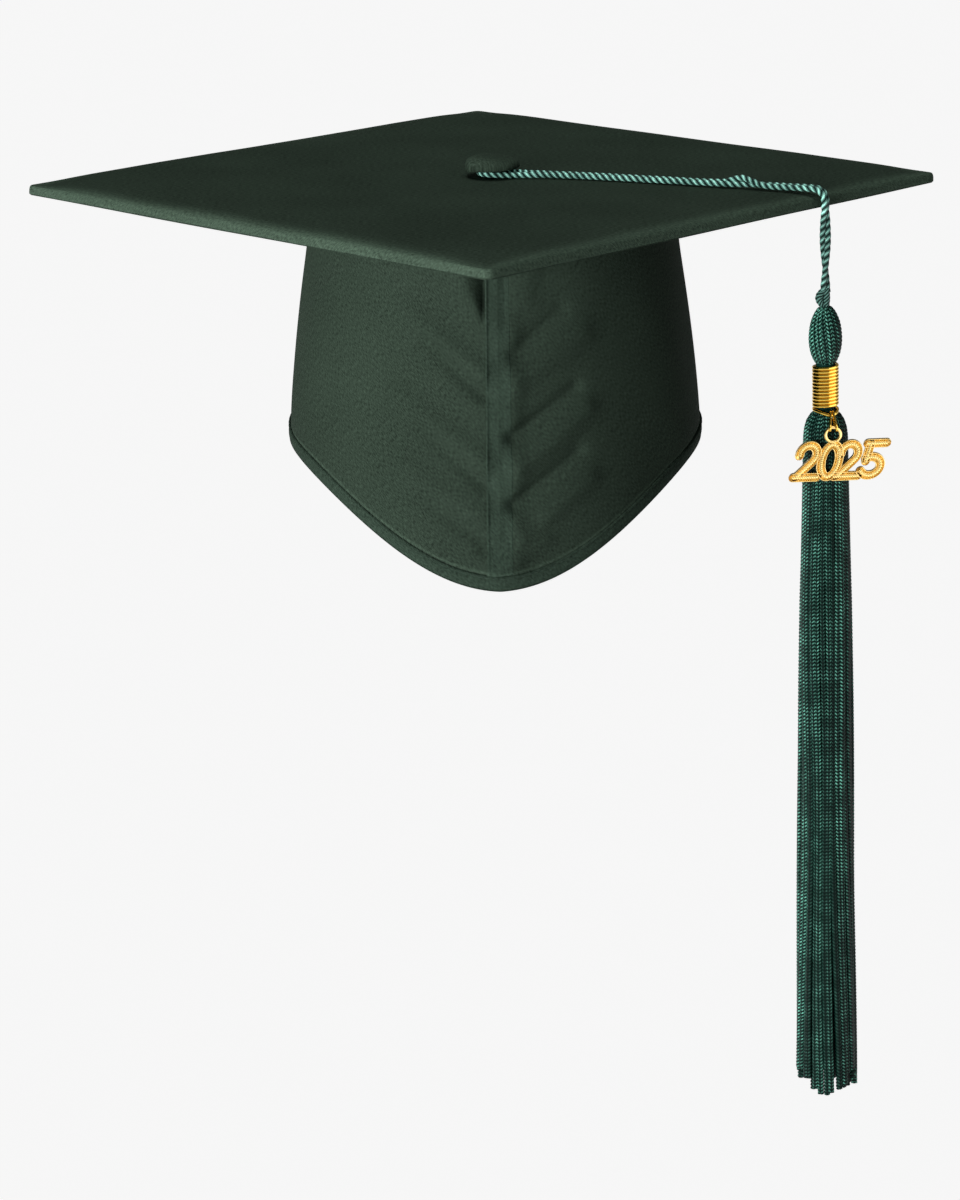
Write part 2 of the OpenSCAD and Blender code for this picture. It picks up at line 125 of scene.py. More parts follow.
class Shape:
    """The mesh of one piece, gathered from several closed parts."""

    def __init__(self):
        self.verts, self.quads, self.tris, self.weave, self.tone = [], [], [], [], []
        self.count = 0

    def add(self, verts, quads, tris=None, weave=None, tone=None):
        """weave is a place on the cloth in metres, its third part carrying a tint, painted light or painted
        shade where one is given, and the tone runs from 0, painted shade deep in the grooves, to 1, painted
        light on the raised parts.
        """
        verts = np.asarray(verts, float).reshape(-1, 3)
        self.verts.append(verts)
        self.quads.append(np.asarray(quads, int).reshape(-1, 4) + self.count)
        if tris is not None:
            self.tris.append(np.asarray(tris, int).reshape(-1, 3) + self.count)
        self.weave.append(verts if weave is None else np.asarray(weave, float).reshape(-1, 3))
        self.tone.append(np.ones(len(verts)) if tone is None else np.asarray(tone, float).ravel())
        self.count += len(verts)

    def add_loop(self, rings, weave=None, tone=None):
        """A closed body from rings of points, its last ring joined to its first."""
        rows, cols = rings.shape[:2]
        self.add(rings, grid_quads(rows + 1, cols, wrap=True) % (rows * cols), weave=weave, tone=tone)

    def piece(self, name, material, body, outwards=False):
        """Makes the object, gives it its material and lets it ride on a body."""
        tris = np.vstack(self.tris) if self.tris else np.zeros((0, 3), int)
        quads = np.vstack(self.quads)
        mesh = bpy.data.meshes.new(name)
        mesh.vertices.add(self.count)
        mesh.vertices.foreach_set("co", np.vstack(self.verts).astype(np.float32).ravel())
        mesh.loops.add(4 * len(quads) + 3 * len(tris))
        mesh.loops.foreach_set("vertex_index", np.concatenate([quads.ravel(), tris.ravel()]))
        mesh.polygons.add(len(quads) + len(tris))
        starts = np.concatenate([4 * np.arange(len(quads)), 4 * len(quads) + 3 * np.arange(len(tris))])
        mesh.polygons.foreach_set("loop_start", starts)
        mesh.polygons.foreach_set("use_smooth", np.ones(len(starts), bool))
        mesh.update(calc_edges=True)
        mesh.validate()
        mesh.attributes.new("weave", "FLOAT_VECTOR", "POINT").data.foreach_set(
            "vector", np.vstack(self.weave).astype(np.float32).ravel())
        mesh.attributes.new("tone", "FLOAT", "POINT").data.foreach_set(
            "value", np.concatenate(self.tone).astype(np.float32))
        mesh.materials.append(material)
        obj = bpy.data.objects.new(name, mesh)
        bpy.context.scene.collection.objects.link(obj)
        if body:
            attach(obj, body)
        if outwards:
            face_outwards(obj)
        return obj


def grid_quads(rows, cols, wrap=False):
    """Faces of a grid of points, its columns joined into rings if wrap is set."""
    i, k = np.meshgrid(np.arange(rows - 1), np.arange(cols if wrap else cols - 1), indexing="ij")
    nxt = (k + 1) % cols
    square = [i * cols + k, i * cols + nxt, (i + 1) * cols + nxt, (i + 1) * cols + k]
    return np.stack(square, -1).reshape(-1, 4)


def add_tube(shape, path, facing, radii, closed=False, tone=None, shade=0.0):
    """A tube round a path. radii is (points, sides), measured round from the facing direction."""
    n, sides = radii.shape
    path = np.asarray(path, float)
    if closed:
        ahead = unit(np.roll(path, -1, axis=0) - np.roll(path, 1, axis=0))
    else:
        ahead = unit(np.gradient(path, axis=0))
    side = unit(facing - (facing * ahead).sum(1, keepdims=True) * ahead)
    up = np.cross(ahead, side)
    a = TURN * np.arange(sides) / sides
    out = np.cos(a)[None, :, None] * side[:, None] + np.sin(a)[None, :, None] * up[:, None]
    verts = (path[:, None] + radii[..., None] * out).reshape(-1, 3)
    along = np.repeat(travelled(path), sides)
    # The weave's third part carries the tube's own tint and any painted shade given as shade.
    weave = np.stack([along, np.tile(a, n) * radii.mean(), np.repeat(shade + np.zeros(n), sides)], -1)
    relief_lights = np.ones((n, sides)) if tone is None else tone
    if closed:
        ring = np.arange(n)[:, None]
        k = np.arange(sides)[None, :]
        quads = np.stack([ring * sides + k, ring * sides + (k + 1) % sides,
                          (ring + 1) % n * sides + (k + 1) % sides, (ring + 1) % n * sides + k], -1)
        shape.add(verts, quads, weave=weave, tone=relief_lights)
        return
    k = np.arange(sides)
    first, last = n * sides, n * sides + 1
    caps = np.vstack([np.stack([np.full(sides, first), (k + 1) % sides, k], -1),
                      np.stack([np.full(sides, last), (n - 1) * sides + k,
                                (n - 1) * sides + (k + 1) % sides], -1)])
    verts = np.vstack([verts, path[:1], path[-1:]])
    weave = np.vstack([weave, weave[:1], weave[-1:]])
    shape.add(verts, grid_quads(n, sides, wrap=True), caps, weave, np.append(relief_lights.ravel(), [0.2, 0.2]))


def add_shell(shape, outer, inner, weave):
    """A closed shell between two grids of points, with its four rims joined."""
    rows, cols = outer.shape[:2]
    total = rows * cols
    face = grid_quads(rows, cols)
    edge = np.concatenate([np.arange(cols), cols * np.arange(1, rows) + cols - 1,
                           total - 2 - np.arange(cols - 1), cols * np.arange(rows - 2, 0, -1)])
    nxt = np.roll(edge, -1)
    rim = np.stack([edge, edge + total, nxt + total, nxt], -1)
    shape.add(np.vstack([outer.reshape(-1, 3), inner.reshape(-1, 3)]),
              np.vstack([face, face[:, ::-1] + total, rim]), weave=np.tile(weave.reshape(-1, 3), (2, 1)))


def add_rings(shape, rings, weave=None, tone=None):
    """A closed body from rings of points, closed with a fan at both ends."""
    n, sides = rings.shape[:2]
    k = np.arange(sides)
    caps = np.vstack([np.stack([np.full(sides, n * sides), (k + 1) % sides, k], -1),
                      np.stack([np.full(sides, n * sides + 1), (n - 1) * sides + k,
                                (n - 1) * sides + (k + 1) % sides], -1)])
    ends = np.stack([rings[0].mean(0), rings[-1].mean(0)])
    marks = rings if weave is None else weave
    marks = np.vstack([marks.reshape(-1, 3), marks[0].mean(0), marks[-1].mean(0)])
    relief_lights = np.ones(n * sides) if tone is None else tone.ravel()
    shape.add(np.vstack([rings.reshape(-1, 3), ends]), grid_quads(n, sides, wrap=True), caps, marks,
              np.append(relief_lights, [relief_lights[0], relief_lights[-1]]))


def face_outwards(obj):
    """Turns all the faces of a closed mesh outwards."""
    bm = bmesh.new()
    bm.from_mesh(obj.data)
    bmesh.ops.recalc_face_normals(bm, faces=bm.faces)
    bm.to_mesh(obj.data)
    bm.free()


# ---------- camera ----------

CAMERA_AT = np.array([-14.7, -1150.3, 295.4]) * MM
CAMERA_PITCH = math.radians(17.587)
CAMERA_YAW = math.radians(0.401)
CAMERA_ROLL = math.radians(0.725)
CAMERA_LENS = 92.76


def make_camera():
    """The photograph's view: a little above the board and level with the button."""
    ahead = Vector((math.sin(CAMERA_YAW) * math.cos(CAMERA_PITCH),
                    math.cos(CAMERA_YAW) * math.cos(CAMERA_PITCH), -math.sin(CAMERA_PITCH)))
    level = Vector((math.cos(CAMERA_YAW), -math.sin(CAMERA_YAW), 0))
    down = ahead.cross(level)
    right = math.cos(CAMERA_ROLL) * level + math.sin(CAMERA_ROLL) * down
    lower = math.cos(CAMERA_ROLL) * down - math.sin(CAMERA_ROLL) * level
    data = bpy.data.cameras.new("view")
    data.lens = CAMERA_LENS
    data.sensor_width = 36
    camera = bpy.data.objects.new("view", data)
    turned = Matrix((right, -lower, -ahead)).transposed().to_4x4()
    camera.matrix_world = Matrix.Translation(Vector(CAMERA_AT)) @ turned
    bpy.context.scene.collection.objects.link(camera)
    bpy.context.scene.camera = camera


make_camera()


# ---------- materials ----------

class Look:
    """A material's nodes round its Principled shader."""

    def __init__(self, name):
        self.material = bpy.data.materials.new(name)
        self.material.use_nodes = True
        self.tree = self.material.node_tree
        self.shader = self.tree.nodes["Principled BSDF"]

    def node(self, kind, settings=None, **inputs):
        made = self.tree.nodes.new("ShaderNode" + kind)
        for key, value in (settings or {}).items():
            setattr(made, key, value)
        for key, value in inputs.items():
            self.put(made.inputs[int(key[1:]) if key[1:].isdigit() else key.replace("_", " ")], value)
        return made

    def put(self, socket, value):
        if isinstance(value, bpy.types.NodeSocket):
            self.tree.links.new(value, socket)
        else:
            socket.default_value = value

    def shade(self, **inputs):
        for key, value in inputs.items():
            self.put(self.shader.inputs[key.replace("_", " ")], value)

    def math(self, operation, a, b=0.5):
        return self.node("Math", {"operation": operation}, _0=a, _1=b).outputs[0]

    def plus(self, a, b):
        return self.math("ADD", a, b)

    def times(self, a, b):
        return self.math("MULTIPLY", a, b)

    def scaled(self, vector, factor):
        """A vector or colour times a number."""
        return self.node("VectorMath", {"operation": "SCALE"}, _0=vector, Scale=factor).outputs[0]

    def stretched(self, vector, factors):
        """A vector times another, part by part."""
        return self.node("VectorMath", {"operation": "MULTIPLY"}, _0=vector, _1=factors).outputs[0]

    def place(self):
        """Where the point is on the object."""
        return self.node("NewGeometry").outputs["Position"]

    def mark(self, name):
        return self.node("Attribute", {"attribute_name": name})

    def between(self, factor, low, high):
        """A colour between two, by a factor from 0 to 1."""
        mix = self.node("Mix", {"data_type": "RGBA"}, _0=factor)
        self.put(mix.inputs[6], low)
        self.put(mix.inputs[7], high)
        return mix.outputs[2]

    def span(self, value, low, high, to_low=0.0, to_high=1.0):
        return self.node("MapRange", {}, _0=value, _1=low, _2=high, _3=to_low, _4=to_high).outputs[0]

    def noise(self, place, scale, detail=3.0, rough=0.5):
        made = self.node("TexNoise", {}, Vector=place, Scale=scale, Detail=detail, Roughness=rough)
        return made.outputs[0]

    def bump(self, height, distance, strength):
        return self.node("Bump", {}, Height=height, Distance=distance, Strength=strength).outputs[0]


def rgb(r, g, b):
    """A colour as the shader takes it, from its screen values."""
    def linear(c):
        c = c / 255
        return c / 12.92 if c <= 0.04045 else ((c + 0.055) / 1.055) ** 2.4
    return (linear(r), linear(g), linear(b), 1.0)


def cloth(name, colour, thread=0.42 * MM, contrast=0.16, relief=0.06 * MM, sheen=0.0, rough=0.85):
    """Woven cloth: fine twill lines over warp and weft, soft mottling and a little fuzz, lightened by
    painted light where the weave's third part is given.
    """
    look = Look(name)
    part = look.node("SeparateXYZ", {}, Vector=look.scaled(look.mark("weave").outputs["Vector"], 1 / thread))
    across, along, painted_light = part.outputs
    sum_of, difference = look.plus(across, along), look.math("SUBTRACT", across, along)
    twill = look.math("SINE", look.times(sum_of, math.pi))
    warp = look.math("SINE", look.times(difference, 2.2 * math.pi))
    weave = look.span(look.plus(look.times(twill, 0.6), look.times(warp, 0.4)), -1, 1)
    slanted = look.node("CombineXYZ", {}, X=look.times(sum_of, 0.75), Y=look.times(difference, 0.22))
    grain = look.noise(slanted.outputs[0], 0.9, 3.0, 0.7)
    patches = look.noise(look.place(), 22.0, 3.0)
    shade = look.plus(look.span(patches, 0.3, 0.7, -0.1, 0.1), look.span(grain, 0.25, 0.75, -0.8, 0.8))
    shade = look.plus(shade, look.span(weave, 0, 1, 1 - contrast, 1 + contrast))
    # Painted light: the weave's third part lightens the colour.
    shade = look.times(shade, look.plus(look.times(painted_light, thread), 1.0))
    uneven = look.bump(look.plus(weave, look.times(grain, 0.8)), relief, 0.8)
    look.shade(Base_Color=look.scaled(colour[:3], shade), Normal=uneven, Roughness=rough, Sheen_Weight=sheen,
               Sheen_Roughness=0.45, Sheen_Tint=(0.75, 0.95, 0.85, 1.0), Specular_IOR_Level=0.02)
    return look.material


def yarn(name, groove_shade_colour, raised, rough=0.42, sharp=1.6):
    """Lustrous rayon with fine filaments: painted shade, dark between the stitches and plies, and painted
    highlights, bright on them.
    """
    look = Look(name)
    marks = look.mark("weave").outputs["Vector"]
    filaments = look.noise(look.stretched(marks, (2500, 9000, 1000)), 1.0, 2.0)
    patches = look.noise(look.place(), 160.0, 3.0)
    tint_and_painted_shade = look.node("SeparateXYZ", {}, Vector=marks).outputs[2]
    tone = look.times(look.mark("tone").outputs["Fac"], look.span(filaments, 0.3, 0.7, 0.8, 1.1))
    tone = look.times(tone, look.span(patches, 0.3, 0.7, 0.85, 1.12))
    tone = look.math("POWER", look.times(tone, look.plus(tint_and_painted_shade, 1.0)), sharp)
    # Base colour runs from the painted groove shade to the painted highlight, by the tone and by each
    # strand's own tint and painted shade.
    look.shade(Base_Color=look.between(look.math("MINIMUM", tone, 1.0), groove_shade_colour, raised),
               Normal=look.bump(filaments, 0.06 * MM, 0.5),
               Roughness=look.span(filaments, 0.3, 0.7, rough - 0.06, rough + 0.1), Specular_IOR_Level=0.12)
    return look.material


def metal(name, colour, rough=0.18, worn=0.08, pits=0.012 * MM, scale=900.0):
    """Polished metal with faint handling marks and uneven polish."""
    look = Look(name)
    where = look.place()
    marks = look.noise(where, scale, 4.0, 0.6)
    cloudy = look.noise(where, scale / 6, 2.0)
    duller = tuple(0.86 * c for c in colour[:3]) + (1.0,)
    look.shade(Base_Color=look.between(look.span(cloudy, 0.3, 0.7), duller, colour), Metallic=1.0,
               Roughness=look.span(marks, 0.3, 0.7, rough, rough + worn), Normal=look.bump(marks, pits, 0.6))
    return look.material


def solid(name, colour, rough=0.6, grain=500.0, relief=0.05 * MM, stretch=(1, 1, 1)):
    """Plain moulded, pressed or foamed stuff with its own grain."""
    look = Look(name)
    where = look.stretched(look.place(), stretch)
    fine = look.noise(where, grain, 4.0, 0.6)
    broad = look.noise(where, grain / 15, 2.0)
    shade = look.plus(look.span(fine, 0.3, 0.7, 0.85, 1.15), look.span(broad, 0.3, 0.7, -0.075, 0.075))
    look.shade(Base_Color=look.scaled(colour[:3], shade), Roughness=rough,
               Normal=look.bump(fine, relief, 0.7))
    return look.material


CAP_CLOTH = cloth("cap cloth", rgb(31, 40, 33))
STRIP_CLOTH = cloth("strip cloth", rgb(32, 42, 35))
LINING = cloth("lining satin", rgb(24, 30, 27), thread=0.25 * MM, contrast=0.06, sheen=0.1, rough=0.42)
SWEATBAND = cloth("sweatband cloth", rgb(38, 46, 42), thread=0.6 * MM, contrast=0.2, relief=0.1 * MM,
                  sheen=0.4)
BUCKRAM = cloth("buckram", rgb(214, 210, 198), thread=1.1 * MM, contrast=0.22, relief=0.2 * MM, sheen=0.1)
ELASTIC = cloth("elastic", rgb(40, 46, 43), thread=0.9 * MM, contrast=0.3, relief=0.2 * MM, sheen=0.3)
# For each yarn the first colour is painted shade for the grooves, and the second is the yarn's own colour
# lifted by a painted highlight on the raised parts.
THREAD = yarn("sewing thread", rgb(20, 27, 22), rgb(38, 50, 42), rough=0.6)
CORD_YARN = yarn("cord rayon", rgb(2, 15, 12), rgb(158, 222, 206), rough=0.34, sharp=3.3)
TASSEL_YARN = yarn("tassel rayon", rgb(1, 12, 9), rgb(92, 154, 136), rough=0.4, sharp=6.0)
BINDING = yarn("binding thread", rgb(5, 28, 24), rgb(30, 84, 70))
GOLD_WIRE = metal("gold wire", rgb(250, 207, 92), rough=0.12)
GOLD_CAST = metal("gold casting", rgb(254, 220, 142), rough=0.2, worn=0.14, pits=0.03 * MM, scale=1400.0)
STEEL = metal("zinc plate", rgb(186, 190, 192), rough=0.3, worn=0.15)
SHEET = solid("pressed sheet", rgb(112, 92, 66), rough=0.85, stretch=(1, 0.2, 1))
FOAM = solid("foam", rgb(205, 205, 198), rough=0.95, grain=900.0, relief=0.2 * MM)
PLASTIC = solid("button back", rgb(50, 56, 53), rough=0.45, grain=300.0, relief=0.02 * MM)

NODE_LOOKS = [
    (SHEET, ["board_core"]), (FOAM, ["board_padding"]), (PLASTIC, ["button_back"]),
    (STEEL, ["button_shell", "button_rivet", "rivet_washer"]),
    (CAP_CLOTH, ["board_top_cover", "board_bottom_cover", "button_cover", "crown_tip", "crown_panel_left",
                 "crown_panel_right"]),
    (BUCKRAM, ["interlining_left", "interlining_right"]), (LINING, ["lining_wall", "lining_tip"]),
    (STRIP_CLOTH, ["front_seam_strip", "back_seam_strip", "hem_band"]),
    (SWEATBAND, ["sweatband"]), (ELASTIC, ["back_elastic"]), (BINDING, ["neck_binding"]),
    (CORD_YARN, ["cord_on_board", "cord_hanging", "cord_knot", "anchor_knot"]),
    (TASSEL_YARN, ["tassel_head", "skirt_core", "skirt_strands"]),
    (GOLD_WIRE, ["gold_band", "charm_bail"]), (GOLD_CAST, ["charm_ring", "year_charm"]),
]
for node_look, node_names in NODE_LOOKS:
    for node_name in node_names:
        node_mesh = frame["nodes"][node_name].data
        node_mesh.materials.clear()
        node_mesh.materials.append(node_look)


# ---------- cord ----------

BOARD_LOW, BOARD_HIGH = corners("board_top_cover", "board_bottom_cover")
BOARD_TOP = BOARD_HIGH[2]
PIVOT = np.array(joint("tassel_swing")["pos_m"])
SWAY_AT = np.array(joint("tassel_sway")["pos_m"])
OUTWARD = np.array(joint("tassel_sway")["axis"])
SIDEWARD = np.cross([0, 0, 1], OUTWARD)
HANG_UP = unit(PIVOT - SWAY_AT)
HANG_RIGHT = np.cross([0, 1, 0], HANG_UP)

STRAND_D = 2.2 * MM
PLY_PITCH = 5.22 * MM
LEG_PITCH = 46 * MM
LEG_TOP = 1.2 * MM
KNOT_TOP = -27.6 * MM
# The looped cord, from one hanging end round the collar under the button and back:
# distance out from the button's axis, sideways offset and height over the board, in mm
CORD_ROUTE = [
    [129.1, -1.3, -5.4], [129.1, -1.3, -3.1], [128.5, -1.3, -0.9], [126.9, -1.3, 0.8],
    [124.6, -1.3, 1.4], [115, -1.3, 1.4], [106, -1.3, 1.6], [101, -0.8, 3.1],
    [98, 0, 3.7], [95, 0.8, 3.1], [90, 1.3, 1.6], [65, 1.3, 1.3], [40, 1.3, 1.2],
    [22, 1.5, 0.9], [12, 2.8, 0.5], [5, 4.4, 0.4], [0, 4.8, 0.4], [-3.4, 3.4, 0.4],
    [-4.8, 0, 0.4], [-3.4, -3.4, 0.4], [0, -4.8, 0.4], [5, -4.4, 0.4], [12, -2.8, 0.5],
    [22, -1.5, 0.9], [40, -1.3, 1.2], [65, -1.3, 1.3], [90, -1.3, 1.4], [95, -0.8, 1.4],
    [98, 0, 1.4], [101, 0.8, 1.4], [106, 1.3, 1.4], [115, 1.3, 1.4], [124.6, 1.3, 1.4],
    [126.9, 1.3, 0.8], [128.5, 1.3, -0.9], [129.1, 1.3, -3.1], [129.1, 1.3, -5.4],
]


def hang(x, y, h):
    """Points of the hanging tassel's frame: right, back and up from the cord's pivot."""
    x, y, h = np.broadcast_arrays(x, y, h)
    return PIVOT + x[..., None] * HANG_RIGHT + y[..., None] * np.array([0, 1, 0]) + h[..., None] * HANG_UP


def leg(sign):
    """One leg of the hanging cord, from its top down, wound round the other leg."""
    h = np.arange(LEG_TOP, KNOT_TOP - 1.2 * MM, -0.8 * MM)
    top = math.atan2(sign * SIDEWARD[1], sign * SIDEWARD[0])
    angle = top - TURN * (LEG_TOP - h) / LEG_PITCH
    share = (LEG_TOP - h) / (LEG_TOP - KNOT_TOP)
    out = (1.03 - 0.12 * share + 0.27 * smoothstep(1 - share * 5)) * MM
    return hang(out * np.cos(angle), out * np.sin(angle), h)


def two_ply(path, radius, pitch, sides=16, grooves=2):
    """Radii of a twisted cord with a groove between its plies, and its painted shade: dark in the groove and
    light on the plies.
    """
    a = TURN * np.arange(sides) / sides
    phase = a[None, :] - TURN * travelled(path)[:, None] / pitch
    ply = np.abs(np.cos(grooves * phase / 2)) ** 0.6
    fine = np.abs(np.cos(3 * grooves * phase / 2))
    return radius * (0.74 + 0.24 * ply + 0.02 * fine), 0.08 + 0.92 * ply ** 2 * (0.7 + 0.3 * fine)


def make_cord():
    """One looped cord: up from the knot, round the button's collar and back to the knot."""
    lift = np.array([0, 0, BOARD_TOP])
    route = [lift + MM * (r * OUTWARD + s * SIDEWARD + np.array([0, 0, z])) for r, s, z in CORD_ROUTE]
    path = spline(np.vstack([leg(-1)[::-1], route, leg(1)]), 0.45 * MM)
    radii, tone = two_ply(path, STRAND_D / 2, PLY_PITCH)
    shape = Shape()
    # Painted shade: the hanging legs darken below the pivot.
    shade = -0.24 * smoothstep((PIVOT[2] + 3 * MM - path[:, 2]) / (9 * MM))
    add_tube(shape, path, carried(path, OUTWARD), radii, tone=tone, shade=shade)
    cord = shape.piece("looped_cord", CORD_YARN, None)
    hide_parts("cord_on_board", "cord_hanging")
    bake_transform(cord)


def make_knot():
    """The two legs wound tight over the tassel's head, where the strands are looped on."""
    t = np.linspace(0, 1, 60)
    h = KNOT_TOP + (0.9 - 7.4 * t) * MM
    bulge = np.sin(math.pi * t)
    shape = Shape()
    for side, lean, front in ((-1, 1.45, 0.35), (1, 0.25, -0.1)):
        x = side * (0.5 + lean * bulge ** 1.5) - 0.25 * bulge
        path = hang(x * MM, side * front * np.cos(math.pi * t) * MM, h)
        thick = (0.95 + (0.6 if side < 0 else 0.35) * bulge) * MM
        radii, tone = two_ply(path, 1.0, 6.5 * MM, sides=24, grooves=5)
        # Painted shade darkens the knot's yarn.
        add_tube(shape, path, carried(path, OUTWARD), radii * thick[:, None], tone=tone, shade=-0.3)
    knot = shape.piece("end_knot", CORD_YARN, "hanging_cord")
    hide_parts("cord_knot")
    return knot


end_knot = make_knot()
make_cord()


# ---------- tassel ----------

STITCH = 1.4 * MM
# Outlines of the bulb and the skirt: radius and height from the cord's pivot, in mm
HEAD_PROFILE = [[3.6, -54.4], [4.6, -52.6], [5.5, -50], [6, -46.5], [5.9, -43], [5.3, -39.5],
                [4.2, -36.6], [3, -34.6], [2, -33.7]]
SKIRT_PROFILE = [[12.2, -348], [11, -245], [9.9, -145], [8.7, -96], [8.4, -82], [8, -78.8],
                 [7.2, -76.2], [5.9, -74.1], [4.6, -72.8], [3.6, -72], [3.45, -71.2]]
STRAND_TOP, STRAND_FREE = -71.3 * MM, -76 * MM
SKIRT_LENGTH = 280
# The skirt's inner strands: distance from the middle as a share of the skirt's radius, and how many
INNER_LAYERS = [(0.66, 18), (0.4, 11), (0.14, 4)]
BAND_TOP, BAND_LOW = -54.5 * MM, -71.1 * MM
BAND_R = 4.9 * MM
BAND_TURNS = 13
BAND_TIGHT = 4.3 * MM
CHARM_X = 1.6 * MM
LAST_TURN = {"radius": 5 * MM, "wire": 0.6 * MM, "shift": -0.7 * MM, "height": -72.9 * MM}


def at_height(profile, h):
    """Radius of a profile of [radius, height] in mm at a height in metres."""
    r, z = np.array(sorted(profile, key=lambda p: p[1])).T * MM
    return np.interp(h, z, r)


def add_chainette(shape, path, facing, thick, sides=14, start=0.0, shade=0.0, groove=0.5):
    """A strand of knitted chainette: columns of V stitches round a small tube."""
    columns, steep, relief = 2, 0.8, 0.34
    a = TURN * np.arange(sides) / sides
    share = np.abs((a * columns / TURN + 0.5) % 1 - 0.5) * 2
    run = travelled(path)[:, None] / STITCH + start
    bead = np.abs(np.sin(math.pi * (run + steep * share[None, :]))) ** 0.7
    spine = 1 - 0.5 * hump(share, 0, 0.16) - groove * hump(share, 1, 0.2)
    radii = thick[:, None] * (1 - relief + relief * bead * spine[None, :])
    # The tone paints shade between the stitches and along the strand's grooves, and light on the stitches.
    add_tube(shape, path, facing, radii, tone=bead ** 1.4 * spine[None, :], shade=shade)


def make_head():
    """The bulb over the anchor knot: strands laid down over it side by side."""
    count = 18
    shape = Shape()
    r, h = np.array(HEAD_PROFILE[::-1]).T * MM
    line = spline(np.stack([r, 0 * r, h], -1), 0.18 * MM)
    radius, height = line[:, 0], line[:, 2]
    share = travelled(line) / travelled(line)[-1]
    thick = np.minimum(1.25 * MM, 1.3 * math.pi * radius / (count + math.pi))
    for k in range(count):
        angle = TURN * (k + rng.uniform(-0.12, 0.12)) / count + 0.45 * (share - 0.5)
        out = radius - 0.8 * thick
        path = hang(out * np.cos(angle), out * np.sin(angle), height)
        facing = path - hang(0, 0, height)
        add_chainette(shape, path, facing, thick, start=rng.uniform(), shade=rng.uniform(-0.1, 0.1),
                      groove=0.2)
    # The core under the strands is painted all over in the yarn's groove shade.
    a = TURN * np.arange(32) / 32
    core = (radius - 1.1 * thick)[:, None]
    add_rings(shape, hang(core * np.cos(a), core * np.sin(a), height[:, None])[::-1],
              tone=np.zeros((len(height), 32)))
    head = shape.piece("tassel_bulb", TASSEL_YARN, "tassel")
    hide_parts("tassel_head")


def make_band():
    """Gold wire wound close round the neck, its last turn loose enough to hold the link."""
    wire = (BAND_TOP - BAND_LOW) / BAND_TURNS / 2
    angle = np.arange(0, TURN * (BAND_TURNS - 1), TURN / 64)
    h = BAND_TOP - wire - 2 * wire * angle / TURN
    coil = np.stack([(BAND_R - wire) * np.sin(angle), (BAND_R - wire) * np.cos(angle), h], -1)
    last = LAST_TURN
    loose = np.arange(math.pi / 4, TURN * 0.97, TURN / 64)
    at_link = math.pi - math.asin(CHARM_X / last["radius"])
    drawn = np.exp(-((loose - at_link) / 0.75) ** 2)[:, None]
    close = np.stack([BAND_TIGHT * np.sin(loose), BAND_TIGHT * np.cos(loose),
                      np.full(len(loose), BAND_LOW - 0.62 * MM)], -1)
    open_turn = np.stack([last["radius"] * np.sin(loose), last["radius"] * np.cos(loose) + last["shift"],
                          np.full(len(loose), last["height"])], -1)
    ring = close + (open_turn - close) * drawn
    path = spline(np.vstack([coil, ring]), 0.42 * MM)
    path = hang(path[:, 0], path[:, 1], path[:, 2])
    axis = hang(0, 0, (path - PIVOT) @ HANG_UP)
    radii = np.full((len(path), 12), wire)
    radii[-len(loose):] = last["wire"]
    radii[:3] *= np.array([0.5, 0.8, 0.95])[:, None]
    radii[-3:] *= np.array([0.95, 0.8, 0.5])[:, None]
    shape = Shape()
    add_tube(shape, path, path - axis, radii)
    band = shape.piece("gold_coil", GOLD_WIRE, "tassel")
    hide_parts("gold_band")


def strand_path(angle, layer, end, step):
    """A strand of the skirt, from under the band to its cut end, wandering a little."""
    h = np.arange(STRAND_TOP, end, -step)
    radius = at_height(SKIRT_PROFILE, h)
    free = smoothstep((STRAND_FREE - h) / (120 * MM))
    low = (-h / MM - 71) / SKIRT_LENGTH
    p, q, s = rng.uniform(0, TURN, 3)
    shared = 0.6 * np.sin(3.1 * low + 2 * np.sin(angle)) + 0.3 * np.sin(8 * low + 3 * np.sin(angle + 1))
    wander = shared + 0.16 * np.sin(4.2 * low + p) + 0.1 * np.sin(11 * low + q)
    turn = angle + free * wander * 0.16 / layer
    out = radius * layer + free * (0.35 * np.sin(7 * low + s)) * MM
    path = hang(out * np.cos(turn), out * np.sin(turn), h)
    return path, path - hang(0, 0, h), radius


def make_skirt():
    """Outer strands in full detail in four bundles, and plainer inner strands behind them, darkened with
    painted shade.
    """
    outer_count, bundles = 32, 4
    per_bundle = outer_count // bundles
    for bundle in range(bundles):
        shape = Shape()
        for k in range(per_bundle):
            angle = TURN * (bundle * per_bundle + k + rng.uniform(-0.16, 0.16)) / outer_count
            end = (-339 - 4.5 * math.sin(3 * angle + 0.6) - 3.5 * rng.uniform()) * MM
            path, facing, radius = strand_path(angle, 0.88, end, STITCH / 7)
            thick = np.minimum(1.4 * MM, 1.3 * math.pi * radius / (outer_count + math.pi))
            add_chainette(shape, path, facing, thick, start=rng.uniform(), shade=rng.uniform(-0.22, 0.12))
        piece = shape.piece(f"skirt_outer_{bundle + 1}", TASSEL_YARN, "tassel")
        if bundle == 0:
            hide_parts("skirt_strands")
    shape = Shape()
    for layer, count in INNER_LAYERS:
        for k in range(count):
            angle = TURN * (k + rng.uniform(-0.2, 0.2)) / count
            end = (-333 - 13 * rng.uniform()) * MM
            path, facing, radius = strand_path(angle, layer, end, STITCH / 4)
            thick = np.minimum(1.3 * MM, 0.16 * radius)
            # Painted shade darkens the inner strands, which lie in the outer strands' shade.
            add_chainette(shape, path, facing, thick, sides=8, start=rng.uniform(), shade=-0.3)
    inner = shape.piece("skirt_inner", TASSEL_YARN, "tassel")
    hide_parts("skirt_core")


make_head()
make_band()
make_skirt()


# ---------- charm ----------

